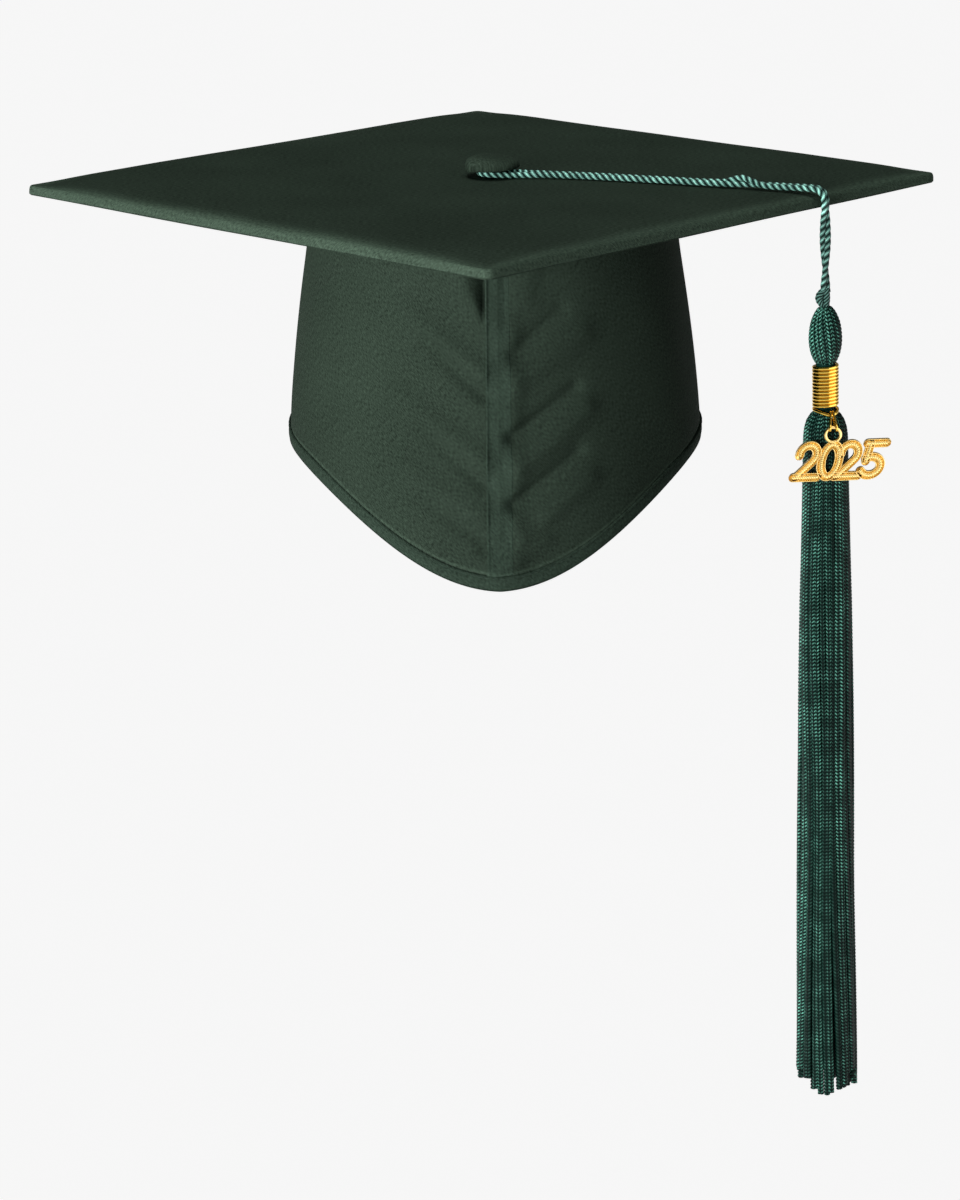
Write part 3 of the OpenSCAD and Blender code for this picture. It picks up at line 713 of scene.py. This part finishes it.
NUMERAL_H = 15 * MM
NUMERAL_SLANT = 0.2
STROKE_HALF = 0.11
CHARM_LOW = -96.3 * MM
CHARM_BACK = -9.2 * MM
CHARM_T = 1.4 * MM


def arc(cx, cy, rx, ry, start, end, steps):
    """Points along part of an ellipse, between two angles in degrees."""
    a = np.radians(np.linspace(start, end, steps + 1))
    return [[cx + rx * math.cos(t), cy + ry * math.sin(t)] for t in a]


# Middle lines of the numerals' strokes, as shares of their height
TWO = [arc(0.29, 0.67, 0.21, 0.23, 185, -35, 10) + [[0.1, 0.12]], [[0.03, 0.1], [0.6, 0.1]]]
ZERO = [arc(0.31, 0.5, 0.21, 0.4, 0, 360, 24)]
FIVE = [[[0.62, 0.9], [0.17, 0.9]], [[0.24, 0.9], [0.2, 0.46]], arc(0.33, 0.33, 0.25, 0.23, 125, -150, 12)]
YEAR = [(TWO, -15.4), (ZERO, -7.3), (TWO, -0.4), (FIVE, 7.5)]
# Cross-section of a stroke: distance from its middle over its half width, and share of its thickness
STROKE_SECTION = [[-1, 0], [-1, 0.76], [-0.96, 0.95], [-0.88, 1.02], [-0.8, 0.95], [-0.75, 0.74],
                  [-0.7, 0.5], [0.7, 0.5], [0.75, 0.74], [0.8, 0.95], [0.88, 1.02],
                  [0.96, 0.95], [1, 0.76], [1, 0]]


def charm_point(x, h, y):
    """A point of the slanted numerals, from shares of their height and a depth."""
    return hang(CHARM_X + x, y, CHARM_LOW + h)


def add_stroke(shape, line, origin):
    """A stroke with a raised rim at both edges and a twisted rope laid between them."""
    line = np.array(line, float) * NUMERAL_H
    closed = np.allclose(line[0], line[-1])
    half = STROKE_HALF * NUMERAL_H
    if len(line) > 2:
        flat = spline(np.column_stack([line, 0 * line[:, 0]]), 0.3 * MM)
    else:
        flat = np.column_stack([np.linspace(line[0], line[1], 30), np.zeros(30)])
    if closed:
        flat = flat[:-1]
        ahead = unit(np.roll(flat, -1, axis=0) - np.roll(flat, 1, axis=0))
        width = np.ones(len(flat))
    else:
        ahead = unit(np.gradient(flat, axis=0))
        tips = half * np.sin(np.linspace(0, math.pi / 2, 7))[1:-1]
        flat = np.vstack([flat[0] - ahead[0] * tips[::-1, None], flat, flat[-1] + ahead[-1] * tips[:, None]])
        ahead = np.vstack([np.repeat(ahead[:1], len(tips), 0), ahead, np.repeat(ahead[-1:], len(tips), 0)])
        taper = np.sqrt(1 - (tips / half) ** 2)
        width = np.concatenate([taper[::-1], np.ones(len(flat) - 2 * len(tips)), taper])
    left = np.stack([-ahead[:, 1], ahead[:, 0]], -1)
    section = np.array(STROKE_SECTION)
    plan = flat[:, None, :2] + (width * half)[:, None, None] * section[None, :, :1] * left[:, None]
    x = origin + plan[..., 0] + NUMERAL_SLANT * plan[..., 1]
    y = np.broadcast_to(CHARM_BACK - CHARM_T * section[None, :, 1], x.shape)
    verts = charm_point(x, plan[..., 1], y)
    n, m = verts.shape[:2]
    tone = np.broadcast_to(section[None, :, 1], (n, m))
    if closed:
        shape.add_loop(verts, tone=tone)
    else:
        add_rings(shape, verts, tone=tone)
    inside = flat if closed else flat[4:-4]
    middle = charm_point(origin + inside[:, 0] + NUMERAL_SLANT * inside[:, 1], inside[:, 1],
                         np.full(len(inside), CHARM_BACK - 0.4 * CHARM_T))
    middle = spline(np.vstack([middle, middle[:1]] if closed else [middle]), 0.12 * MM)
    middle = middle[:-1] if closed else middle
    phase = TURN * (np.arange(20)[None, :] / 20 - travelled(middle)[:, None] / (4 * MM))
    tone = np.abs(np.cos(2.5 * phase))
    radii = (0.58 + 0.34 * tone) * MM
    add_tube(shape, middle, np.tile([0.0, -1.0, 0.0], (len(middle), 1)), radii, closed=closed, tone=tone)


def make_link():
    """The link: one wire bent double, over the band's last turn and through the ring."""
    top, low = (np.array([0, -5.4, -72.9]), np.array([0, -9.9, -76.4]))
    along = unit(top - low)
    across = np.array([0, -along[2], along[1]])
    half = np.linalg.norm(top - low) / 2
    a = np.linspace(0, TURN, 97)[:-1]
    ends = np.where(np.sin(a) > 0, 1.0, -1.0) * half
    shape = Shape()
    for side in (-1, 1):
        bend = 1.22 * np.cos(a)[:, None] * across + (1.22 * np.sin(a) + ends)[:, None] * along
        bend[:, 0] = side * (0.78 - 0.3 * (bend @ along) / half)
        loop = (top + low) / 2 * MM + bend * MM
        path = hang(CHARM_X + loop[:, 0], loop[:, 1], loop[:, 2])
        radii = np.tile((0.44 + 0.06 * np.cos(TURN * np.arange(12) / 12)) * MM, (len(path), 1))
        add_tube(shape, path, np.tile([1.0, 0, 0], (len(path), 1)), radii, closed=True)
    link = shape.piece("double_link", GOLD_WIRE, "bail", outwards=True)
    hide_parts("charm_bail")


def make_year():
    """Four plain numerals joined side by side."""
    shape = Shape()
    for strokes, origin in YEAR:
        for line in strokes:
            add_stroke(shape, line, origin * MM)
    year = shape.piece("year_numerals", GOLD_CAST, "charm", outwards=True)
    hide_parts("year_charm")


make_link()
make_year()


# ---------- board ----------

BOARD_CORNER_R = 3 * MM
BOARD_MID = (BOARD_LOW + BOARD_HIGH) / 2
BOARD_SIDE = 2 * (((BOARD_HIGH[0] - BOARD_LOW[0]) / 2 - BOARD_CORNER_R) / math.sqrt(2) + BOARD_CORNER_R)
CLOTH_T = 0.45 * MM
STEM_R = 2.5 * MM
# The soft edge: how far in from the board's side, and how far below its top, in mm
SOFT_EDGE = [[0.02, 5.05], [0, 4.5], [0, 3.7], [0.1, 2.9], [0.42, 2.15], [1.2, 1.55], [2.8, 1.02],
             [5.6, 0.54], [9.5, 0.2], [15, 0.04]]
EDGE_DEPTH = SOFT_EDGE[0][1]


def board_outline(inset, per_side=56, per_corner=6):
    """The board's outline at some insets, as rings of points in its own square frame."""
    inset = np.atleast_1d(inset)[:, None]
    r = np.maximum(BOARD_CORNER_R - inset, 0.35 * MM)
    half = BOARD_SIDE / 2 - inset - r
    points = []
    for corner in range(4):
        a = math.radians(90) * corner + np.linspace(0, math.pi / 2, per_corner)
        cx, cy = math.copysign(1, math.cos(a.mean())), math.copysign(1, math.sin(a.mean()))
        points.append(np.stack([cx * half + r * np.cos(a), cy * half + r * np.sin(a)], -1))
        t = np.linspace(0, 1, per_side + 2)[1:-1]
        start = points[-1][:, -1:]
        b = math.radians(90) * (corner + 1)
        nx, ny = math.copysign(1, math.cos(b + 0.1)), math.copysign(1, math.sin(b + 0.1))
        end = np.stack([nx * half + r * math.cos(b), ny * half + r * math.sin(b)], -1)
        points.append(start + (end - start) * t[None, :, None])
    return np.concatenate(points, axis=1)


def towards_stem(flat, reach):
    """Moves the inner rings from the board's centre to the button's axis."""
    c = math.sqrt(0.5)
    stem = -c * np.array([BOARD_MID[0] + BOARD_MID[1], BOARD_MID[1] - BOARD_MID[0]])
    return flat + smoothstep((60 * MM - np.asarray(reach)[:, None, None]) / (45 * MM)) * stem


def on_board(flat, z):
    """Board-frame points turned by an eighth of a turn and moved to the board's place."""
    c = math.sqrt(0.5)
    x, y = flat[..., 0], flat[..., 1]
    return np.stack([c * (x - y) + BOARD_MID[0], c * (x + y) + BOARD_MID[1], z], -1)


def board_relief(flat):
    """Slight unevenness of the cloth and foam, in metres."""
    x, y = flat[..., 0] / MM, flat[..., 1] / MM
    c = math.sqrt(0.5) / MM
    from_stem = (x + c * (BOARD_MID[0] + BOARD_MID[1])) ** 2 + (y + c * (BOARD_MID[1] - BOARD_MID[0])) ** 2
    swell = 0.14 * np.sin(x / 23 + 0.6) * np.cos(y / 31 - 0.4) + 0.1 * np.sin((x + 1.7 * y) / 19)
    swell = swell - 1.1 * np.exp(-from_stem / 22 ** 2)
    fine = 0.03 * np.sin(x / 5.1 + 2 * np.sin(y / 17)) * np.sin(y / 6.3 + 1.5)
    return (swell + fine - 0.1) * MM


def edge_puckers(flat, depth):
    """Small puckers that fade out from the seam under the edge."""
    run = (flat[..., 0] - flat[..., 1]) / MM
    return 0.1 * MM * (1 + np.sin(run / 1.9 + 1.3 * np.sin(run / 13))) * hump(depth, EDGE_DEPTH, 1.6)


def pressed_corners(flat, depth):
    """How far the foam is pressed down near the board's corners, towards 2 mm in all, in mm."""
    away = np.linalg.norm(np.abs(flat) - BOARD_SIDE / 2, axis=-1) / MM
    return np.maximum(2.0 - depth, 0) * hump(away, 0, 17)


def cover_rings(skin):
    """Rings of the covered board from its lower edge over the soft edge to the stem's hole, with painted
    light over the soft edge.
    """
    edge = spline(np.array([[i, 0, d] for i, d in SOFT_EDGE]), 0.35)
    inner = BOARD_SIDE / 2 / MM - np.linspace(105, 4, 46)
    inset = np.concatenate([edge[:, 0], inner]) * MM
    depth = np.concatenate([edge[:, 2], np.zeros(len(inner))])
    flat = board_outline(inset + skin)
    hole = np.array([flat[-1]])
    hole = hole / np.linalg.norm(hole, axis=-1, keepdims=True) * STEM_R
    flat = towards_stem(np.concatenate([flat, hole]), np.append(BOARD_SIDE / 2 - inset, 0))
    depth = np.append(depth, 0)[:, None]
    inward = smoothstep(np.append(inset, 0.12) / (6 * MM))[:, None]
    low = depth + pressed_corners(flat, depth)
    z = BOARD_TOP - low * MM * (1 - skin / (EDGE_DEPTH * MM)) - skin * (depth < 3)
    z = z + inward * board_relief(flat)
    spread = travelled(np.stack([inset, 0 * inset, -depth[:-1, 0] * MM], -1))
    marks = np.concatenate([board_outline(spread - spread[len(edge)] + inset[len(edge)]), hole])
    out = unit(flat + 1e-9) * edge_puckers(flat, depth)[..., None]
    # Painted light along the board's soft edge, lightest where it has rounded over.
    painted_edge_light = 0.85 * smoothstep((depth - 0.15) / 1.2) + 0 * marks[..., 0]
    place = on_board(flat + np.where(depth[..., None] > 1, out, 0), z)
    return place, np.concatenate([marks, painted_edge_light[..., None]], -1)


def make_board():
    """Foam and cloth over the stiff sheet, and the flat cloth under it."""
    outer, marks = cover_rings(0.0)
    inner, _ = cover_rings(CLOTH_T)
    shape = Shape()
    loop = np.concatenate([outer, inner[::-1]])
    shape.add_loop(loop, weave=np.concatenate([marks, marks[::-1]]))
    cover = shape.piece("board_cloth", CAP_CLOTH, "cap", outwards=True)
    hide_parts("board_top_cover")

    foam_top, _ = cover_rings(CLOTH_T + 0.1 * MM)
    foam_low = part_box("board_padding")[0][2]
    foam_top = foam_top[foam_top[..., 2].max(axis=1) > foam_low + 0.3 * MM]
    foam_top[..., 2] = np.maximum(foam_top[..., 2], foam_low + 0.1 * MM)
    under = foam_top.copy()
    under[..., 2] = foam_low
    shape = Shape()
    loop = np.concatenate([under[::-1], foam_top])
    shape.add_loop(loop)
    foam = shape.piece("board_foam", FOAM, "cap", outwards=True)
    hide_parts("board_padding")

    low, high = corners("board_bottom_cover")
    inset = np.concatenate([[0.35, 0.2, 0.35, 1.2, 2.2, 2.6, 3.0], np.linspace(8, 116, 30)]) * MM
    drop = np.concatenate([[0.1, 0.3, 0.45, 0.5, 0.46, 0.3, 0.46], np.full(30, 0.45)]) * MM
    flat = board_outline(inset)
    waves = np.sin(flat[..., 0] / (17 * MM)) * np.sin(flat[..., 1] / (21 * MM))
    z = high[2] - drop[:, None] + 0.12 * MM * waves
    hole = flat[-1:] / np.linalg.norm(flat[-1:], axis=-1, keepdims=True) * STEM_R
    flat = towards_stem(np.concatenate([flat, hole]), np.append(BOARD_SIDE / 2 - inset, 0))
    z = np.concatenate([z, z[-1:]])
    top = np.full(z.shape, high[2] - 0.05 * MM)
    top[0] -= 0.02 * MM
    loop = np.concatenate([on_board(flat, z), on_board(flat, top)[::-1]])
    marks = np.concatenate([flat, flat[::-1]])
    shape = Shape()
    shape.add_loop(loop, weave=np.concatenate([marks, 0 * marks[..., :1]], -1))
    bottom = shape.piece("board_under_cloth", CAP_CLOTH, "cap", outwards=True)
    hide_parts("board_bottom_cover")


def make_button():
    """Cloth gathered over the button's metal shell, leaning a little to the cord's side."""
    low, high = corners("button_cover")
    radius = (high[0] - low[0]) / 2
    height = high[2] - low[2]
    sides = 96
    a = TURN * np.arange(sides) / sides
    # The cloth's turned-in rim: shares of the button's radius and height
    rim = np.array([[7.2 / 10.3, 0.10], [8.6 / 10.3, 0.02], [9.6 / 10.3, 0.03], [0.985, 0.10]])
    t = np.linspace(0.1, math.pi / 2, 26)
    profile = np.vstack([rim, np.stack([np.cos(t) ** 0.6, 0.12 + 0.88 * np.sin(t) ** 0.9], -1)])
    profile = profile[profile[:, 0] > 0.02]
    share, rise = profile[:, :1], profile[:, 1:]
    x = radius * share * np.cos(a)
    y = radius * share * np.sin(a)
    lean = 1 - 0.2 * smoothstep((x / radius + 0.6) / 1.6) * smoothstep(rise * 2)
    pleats = 0.008 * np.sin(22 * a + 1.5 * np.sin(3 * a)) * smoothstep((0.4 - rise) / 0.4)
    # The rim lies close on the board all round, but for where the cord comes out
    from_cord = np.degrees(a - math.atan2(OUTWARD[1], OUTWARD[0]))
    over_cord = hump((from_cord + 180) % 360, 180, 48)
    at_left = hump(np.degrees(a), 178, 42)
    sunk = (1.0 + 1.5 * at_left - 0.3 * over_cord) * MM * (1 - smoothstep(rise / 0.6))
    shape = Shape()
    rings = np.stack([x * (1 + pleats), y * (1 + pleats), low[2] + height * rise * lean - sunk], -1)
    # The weave's third part is painted light, most on the button's lower sides and least on its top.
    add_rings(shape, rings, weave=np.stack([x, y, 0.1 + 0.5 * (1 - rise) + 0 * x], -1))
    button = shape.piece("button_cloth", CAP_CLOTH, "cap", outwards=True)
    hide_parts("button_cover")


make_board()
make_button()


# ---------- crown ----------

CROWN_LOW, CROWN_HIGH = corners("crown_panel_left", "crown_panel_right")
UNDER = CROWN_HIGH[2]
PROW = 4 * MM
HALF_W = CROWN_HIGH[0]
HALF_L = -CROWN_LOW[1] - PROW
PEAK = -CROWN_LOW[2]
BACK = 14 * MM
SIDE_TAPER = 11 * MM
END_TAPER = 12 * MM
HEM_H = 5 * MM
STRIP_HALF = math.asin(9 / 156.6)
MM_PER_DEGREE = 75 * math.pi / 180


def crown_rise(z, low):
    """How far up a height is between a low one and the board, for the crown's taper."""
    return (np.maximum(z - low, 0) / (UNDER - low)) ** 1.35


def crown_point(angle, z, inset):
    """A point of the crown from its angle from the front, height and depth under the outer face."""
    across = HALF_W - SIDE_TAPER * crown_rise(z, 0) - inset
    ahead = HALF_L - END_TAPER * crown_rise(z, -PEAK) - inset
    prow = np.where(np.cos(angle) > 0, PROW * (1 - np.abs(np.sin(angle))) ** 3, 0)
    return np.stack(np.broadcast_arrays(across * np.sin(angle), -ahead * np.cos(angle) - prow, z), -1)


def hem_z(angle):
    """The hem's lower edge: a deep point at the front and a shallow one at the back."""
    c = np.cos(angle)
    return -np.where(c > 0, PEAK, BACK) * np.abs(c) ** 3.4


# Soft folds of the crown's cloth, each from one place to another as [mm round from the
# front seam, height in mm], with its half width and how far it stands out, in mm
FOLDS = [
    ([-34, 64], [-6, 44], 4.4, 1.3), ([-26, 54], [-5, 36], 2.8, -1.4),
    ([-36, 34], [-6, 13], 4.8, 1.3), ([-28, 24], [-5, 4], 2.8, -1.3),
    ([-34, 9], [-7, -6], 4.2, 1.0), ([-26, -3], [-6, -16], 2.8, -0.9),
    ([24, 64], [6, 50], 3.2, -1.2), ([32, 55], [7, 41], 4.6, 1.1),
    ([28, 36], [5, 21], 2.9, -1.7), ([32, 28], [7, 11], 4.2, 1.5),
    ([28, 13], [5, -3], 2.9, -1.6), ([32, 3], [8, -13], 4.0, 1.2),
    ([12, -10], [-5, -20], 2.8, -0.9), ([16, -17], [-2, -27], 2.8, 0.8),
    ([-13, 70], [-15, 88], 3.6, 0.8),
    ([14, 90], [10, 70], 5.0, 0.7), ([60, 80], [80, 10], 14.0, 0.6), ([-70, 80], [-95, 15], 14.0, 0.6),
    ([120, 70], [150, 5], 12.0, -0.6), ([-120, 70], [-150, 5], 12.0, -0.6),
    ([170, 60], [200, 10], 12.0, 0.7), ([-170, 60], [-200, 10], 12.0, 0.7),
]


def crown_relief(angle, z):
    """How far the crown's cloth stands out of its even shape."""
    run = np.degrees((angle + math.pi) % TURN - math.pi) * MM_PER_DEGREE
    high = z / MM
    total = 0.12 * np.sin(run / 13 + high / 21) + 0.1 * np.sin(run / 7.5 - high / 16 + 1)
    for (x0, z0), (x1, z1), width, lift in FOLDS:
        dx, dz = x1 - x0, z1 - z0
        t = np.clip(((run - x0) * dx + (high - z0) * dz) / (dx * dx + dz * dz), 0, 1)
        away = np.hypot(run - x0 - t * dx, high - z0 - t * dz)
        total = total + 2.0 * lift * np.exp(-(away / width) ** 2) * (0.5 + 0.5 * t)
    hollow = np.clip((high - 58.5) / 16.5, 0, 1)
    start = -4.6 - 7.4 * hollow
    ramp = np.clip((run - start) / (-4.6 - start + 0.01), 0, 1) ** 1.6 * (run < -4.55)
    total = total - 6.0 * ramp * smoothstep(hollow * 1.6) * smoothstep(((UNDER - z) / MM - 0.4) / 1.6)
    total = total + 1.2 * hump(run, 5.2, 3.4) * (1 - 0.5 * smoothstep((high - 54) / 12))
    above = (z - hem_z(angle)) / MM
    tied = smoothstep(above / 8) * smoothstep((UNDER - z - 0.4 * MM) / (2.2 * MM))
    return total * tied * MM


def crown_layer(name, look, skins, span, low, high, cols, rows, replaced, relief=None, edge=None,
                flat_back=False, fold=False):
    """A layer of the crown between two angles in degrees and two heights.

    skins are the depths of its two faces in mm. relief lifts it, edge thins it, flat_back keeps
    the relief off its inner face, and fold adds cloth turned under its lower edge.
    """
    angle = np.radians(np.linspace(span[0], span[1], cols + 1))[None, :]
    share = np.linspace(0, 1, rows + 1)[:, None] ** (1.5 if rows > 100 else 1)
    bottom, top = low(angle), high(angle)
    z = bottom + (top - bottom) * share
    angle = angle + 0 * z
    out = crown_relief(angle, z)
    raised = out if relief is None else out + relief(angle, z, share)
    outer = crown_point(angle, z, skins[0] * MM - raised)
    inner = crown_point(angle, z, skins[1] * MM - (out if flat_back else raised))
    if edge is not None:
        middle = (outer + inner) / 2
        thin = edge(angle, z, share)[..., None]
        outer, inner = middle + (outer - middle) * thin, middle + (inner - middle) * thin
    # A painted highlight along a thin line just above the hem.
    painted_hem_highlight = 0.7 * hump((z - hem_z(angle)) / MM, HEM_H / MM + 0.7, 0.5)
    marks = np.stack([angle * 85 * MM, z, painted_hem_highlight], -1)
    shape = Shape()
    add_shell(shape, outer, inner, marks)
    if fold:
        # The same cloth turned under the edge, over the ends of the layers inside
        inset = np.linspace(-0.42, 1.85, 9)[:, None] * MM + 0 * angle[:1]
        dip = -0.32 * MM - 0.2 * MM * np.sin(math.pi * np.linspace(0.1, 1, 9))[:, None]
        under, over = [crown_point(angle[:1], bottom + dip + lift * MM, inset) for lift in (0, 0.25)]
        add_shell(shape, over, under, np.stack([angle[:1] * 85 * MM + 0 * inset, inset, 0 * inset], -1))
    piece = shape.piece(name, look, "cap", outwards=True)
    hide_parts(replaced)
    return piece


def above_hem(lift):
    """A height that follows the hem, lifted by a distance."""
    return lambda angle: hem_z(angle) + lift


def under_board(angle):
    """The height of the board's underside."""
    return UNDER + 0 * angle


def strip_relief(angle, z, share):
    """A lapped strip: a crisp fold along its left edge, rising to a soft ridge on its right."""
    x = np.degrees((angle + math.pi / 2) % math.pi - math.pi / 2) * MM_PER_DEGREE
    half = math.degrees(STRIP_HALF) * MM_PER_DEGREE
    across = (x + half) / (2 * half)
    crisp = hump(x, -half + 0.4, 0.5)
    lifted = smoothstep((z - 53 * MM) / (10 * MM))
    ripple = 0.1 * np.sin(z / (6.5 * MM)) + 0.06 * np.sin(z / (2.9 * MM) + x)
    low = np.clip(1 - across, 0, 1)
    pulled = 2.0 * lifted * np.clip(1 - across / 0.8, 0, 1)
    return (0.65 * low + 0.5 * crisp + pulled + ripple * low ** 0.5) * MM


def hem_relief(angle, z, share):
    """A turned hem: full above the folded edge, drawn in along its row of stitches."""
    run = angle * 82
    pulled = hump(share, 0.8, 0.06) * (0.85 + 0.15 * np.sin(run * 2.4))
    puff = 0.22 * np.sin(math.pi * np.clip(share / 0.78, 0, 1)) + 0.5 * hump(share, 0.9, 0.06)
    pucker = 0.04 * np.sin(run * 1.2 + 2 * np.sin(run / 11)) * share
    return (puff - 0.22 * pulled + pucker - 0.25 * smoothstep((share - 0.92) / 0.08)) * MM


def hem_edge(angle, z, share):
    """The hem's thickness thins towards its two edges."""
    return 0.4 + 0.6 * np.sin(math.pi * np.clip(share * 0.94 + 0.03, 0, 1)) ** 0.4


def lining_relief(angle, z, share):
    """The lining hangs in soft upright folds, fuller towards its top."""
    return -0.25 * MM * (1 + np.sin(angle * 26 + 2 * share)) * share ** 2


def band_relief(angle, z, share):
    """A sweatband: soft between its two sewn edges."""
    run = angle * 80
    sewn = hump(share, 0.07, 0.03) + hump(share, 0.93, 0.03)
    return -(0.35 * np.sin(math.pi * share) - 0.2 * sewn + 0.08 * np.sin(run * 0.6) * np.sin(3 * share)) * MM


def elastic_relief(angle, z, share):
    """Gathered elastic: upright ribs across its width."""
    return -0.22 * np.sin(angle * 95) * (0.6 + 0.4 * np.sin(math.pi * share)) * MM


def make_crown():
    """The crown's layers, from the outer cloth in to the elastic."""
    for side, span in (("left", (-180, 0)), ("right", (0, 180))):
        panel = crown_layer(f"crown_cloth_{side}", CAP_CLOTH, (0, 0.45), span, above_hem(0), under_board,
                            240, 130, f"crown_panel_{side}")
        crown_layer(f"stiffening_{side}", BUCKRAM, (0.5, 1.3), span, above_hem(2.4 * MM), under_board,
                    240, 60, f"interlining_{side}")
    for name, middle, rows in (("front", 0, 160), ("back", 180, 130)):
        span = middle + np.degrees([-STRIP_HALF, STRIP_HALF])
        crown_layer(f"{name}_strip", STRIP_CLOTH, (-0.05, 0.0), span, above_hem(HEM_H + 0.1 * MM),
                    under_board, 40, rows, f"{name}_seam_strip", strip_relief, flat_back=True)
    crown_layer("hem_cloth", STRIP_CLOTH, (-0.5, -0.05), (-180, 180), above_hem(-0.3 * MM), above_hem(HEM_H),
                560, 26, "hem_band", hem_relief, hem_edge, flat_back=True, fold=True)
    lining = crown_layer("lining_cloth", LINING, (1.35, 1.65), (-180, 180), above_hem(1.5 * MM), under_board,
                         360, 60, "lining_wall", lining_relief)
    crown_layer("sweatband_cloth", SWEATBAND, (1.7, 2.4), (-180, 180), above_hem(2 * MM),
                above_hem(26 * MM), 360, 30, "sweatband", band_relief)
    crown_layer("gathered_elastic", ELASTIC, (2.45, 3.25), (135, 225), above_hem(6 * MM),
                above_hem(18 * MM), 300, 10, "back_elastic", elastic_relief)


def make_stitches():
    """Lock stitches along the hem."""
    shape = Shape()
    pitch, length, thick = 2.6 * MM, 2.1 * MM, 0.13 * MM
    angle = np.linspace(-math.pi, math.pi, 4001)
    line = crown_point(angle, hem_z(angle) + 0.8 * HEM_H, -0.56 * MM)
    run = travelled(line)
    for k in range(int(run[-1] / pitch)):
        ends = [k * pitch, k * pitch + length / 2, k * pitch + length]
        path = np.stack([np.interp(ends, run, line[:, i]) for i in range(3)], -1)
        out = unit(path * np.array([1, 1, 0]))
        path = spline(path + out * np.array([-0.1, 0.06, -0.1])[:, None] * MM, 0.25 * MM)
        grow = np.sin(np.linspace(0.25, math.pi - 0.25, len(path))) ** 0.5
        add_tube(shape, path, np.tile(out[1], (len(path), 1)), thick * grow[:, None] * np.ones((1, 6)))
    stitches = shape.piece("hem_stitches", THREAD, "cap")


def make_lining_tip():
    """The lining's top, drawn up a little round the rivet."""
    low, high = corners("lining_tip")
    mid = (low + high) / 2
    sides, rings = 96, 24
    a = TURN * np.arange(sides) / sides
    share = np.linspace(1, 0.1, rings)[:, None]
    x = (high[0] - low[0]) / 2 * share * np.sin(a)
    y = -(high[1] - low[1]) / 2 * share * np.cos(a)
    sag = 0.35 * MM * np.sin(math.pi * share) * (1 + 0.4 * np.sin(9 * a))
    lower = np.stack([x + mid[0], y + mid[1], low[2] - sag], -1)
    upper = np.stack([x + mid[0], y + mid[1], high[2] - sag], -1)
    loop = np.concatenate([lower, upper[::-1]])
    shape = Shape()
    shape.add_loop(loop)
    tip = shape.piece("lining_top", LINING, "cap", outwards=True)
    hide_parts("lining_tip")


make_crown()
make_stitches()
make_lining_tip()


# ---------- studio ----------

FLOOR_Z = -3.0
FLOOR_GLOW = 0.81
WORLD_GLOW = 0.15
LIT_POINT = (0, 0, 0.03)
# Where each light comes from, its distance and size in metres, its power in watts and
# the one sort of piece it shows in, as a reflection
LIGHTS = {
    "key": ((-0.59, -0.80, 0.02), 2.2, (1.3, 1.0), 131, None),
    "top": ((-0.05, 0.1, 1.0), 1.9, (1.6, 1.6), 41, None),
    "right_glint": ((0.88, -0.46, 0.1), 1.3, (1.7, 1.7), 15, "gold"),
    "left_glint": ((-0.55, 0.84, 0.1), 1.3, (0.8, 1.7), 4.2, "gold"),
    "upper_glint": ((0.1, -0.53, 0.84), 1.3, (1.0, 1.0), 6, "charm"),
    "front_glint": ((0.3, -0.92, -0.22), 2.4, (1.3, 1.3), 7, "charm"),
}
REFLECTING = {"gold": ("gold_coil", "double_link", "year_numerals", "charm_ring"),
              "charm": ("double_link", "year_numerals", "charm_ring")}


def make_floor():
    """A wide pale floor well below the hanging cap."""
    size = 120
    mesh = bpy.data.meshes.new("floor")
    mesh.from_pydata([(x * size, y * size, FLOOR_Z) for x, y in ((-1, -1), (1, -1), (1, 1), (-1, 1))],
                     [], [(0, 1, 2, 3)])
    look = Look("pale floor")
    where = look.node("NewGeometry").outputs["Position"]
    look.shade(Base_Color=look.between(look.noise(where, 3.0), rgb(226, 226, 226), rgb(230, 230, 230)),
               Roughness=0.95, Specular_IOR_Level=0.0, Emission_Color=(1, 1, 1, 1),
               Emission_Strength=FLOOR_GLOW)
    mesh.materials.append(look.material)
    floor = bpy.data.objects.new("floor", mesh)
    bpy.context.scene.collection.objects.link(floor)


def make_lights():
    """A soft key and top light for all, and glints that only the gold shows."""
    meshes = [obj for obj in bpy.context.scene.objects if obj.type == "MESH" and obj.name != "floor"]
    groups = {None: bpy.data.collections.new("lit")}
    for obj in meshes:
        groups[None].objects.link(obj)
    for group, names in REFLECTING.items():
        groups[group] = bpy.data.collections.new(group)
        for obj in meshes:
            if obj.name.startswith(names):
                groups[group].objects.link(obj)
    for name, (direction, distance, size, power, group) in LIGHTS.items():
        data = bpy.data.lights.new(name, "AREA")
        data.shape = "RECTANGLE"
        data.size, data.size_y = size
        data.energy = power
        light = bpy.data.objects.new(name, data)
        light.location = distance * Vector(direction).normalized() + Vector(LIT_POINT)
        light.rotation_euler = Vector(direction).to_track_quat("Z", "Y").to_euler()
        light.light_linking.receiver_collection = groups[group]
        light.visible_glossy = group is not None
        light.visible_diffuse = group is None
        bpy.context.scene.collection.objects.link(light)


def make_world():
    """Even pale surroundings."""
    world = bpy.data.worlds.new("studio")
    world.use_nodes = True
    background = world.node_tree.nodes["Background"]
    background.inputs["Color"].default_value = (1, 1, 1, 1)
    background.inputs["Strength"].default_value = WORLD_GLOW
    bpy.context.scene.world = world


make_floor()
make_world()
make_lights()
bpy.context.scene.view_settings.view_transform = "Standard"
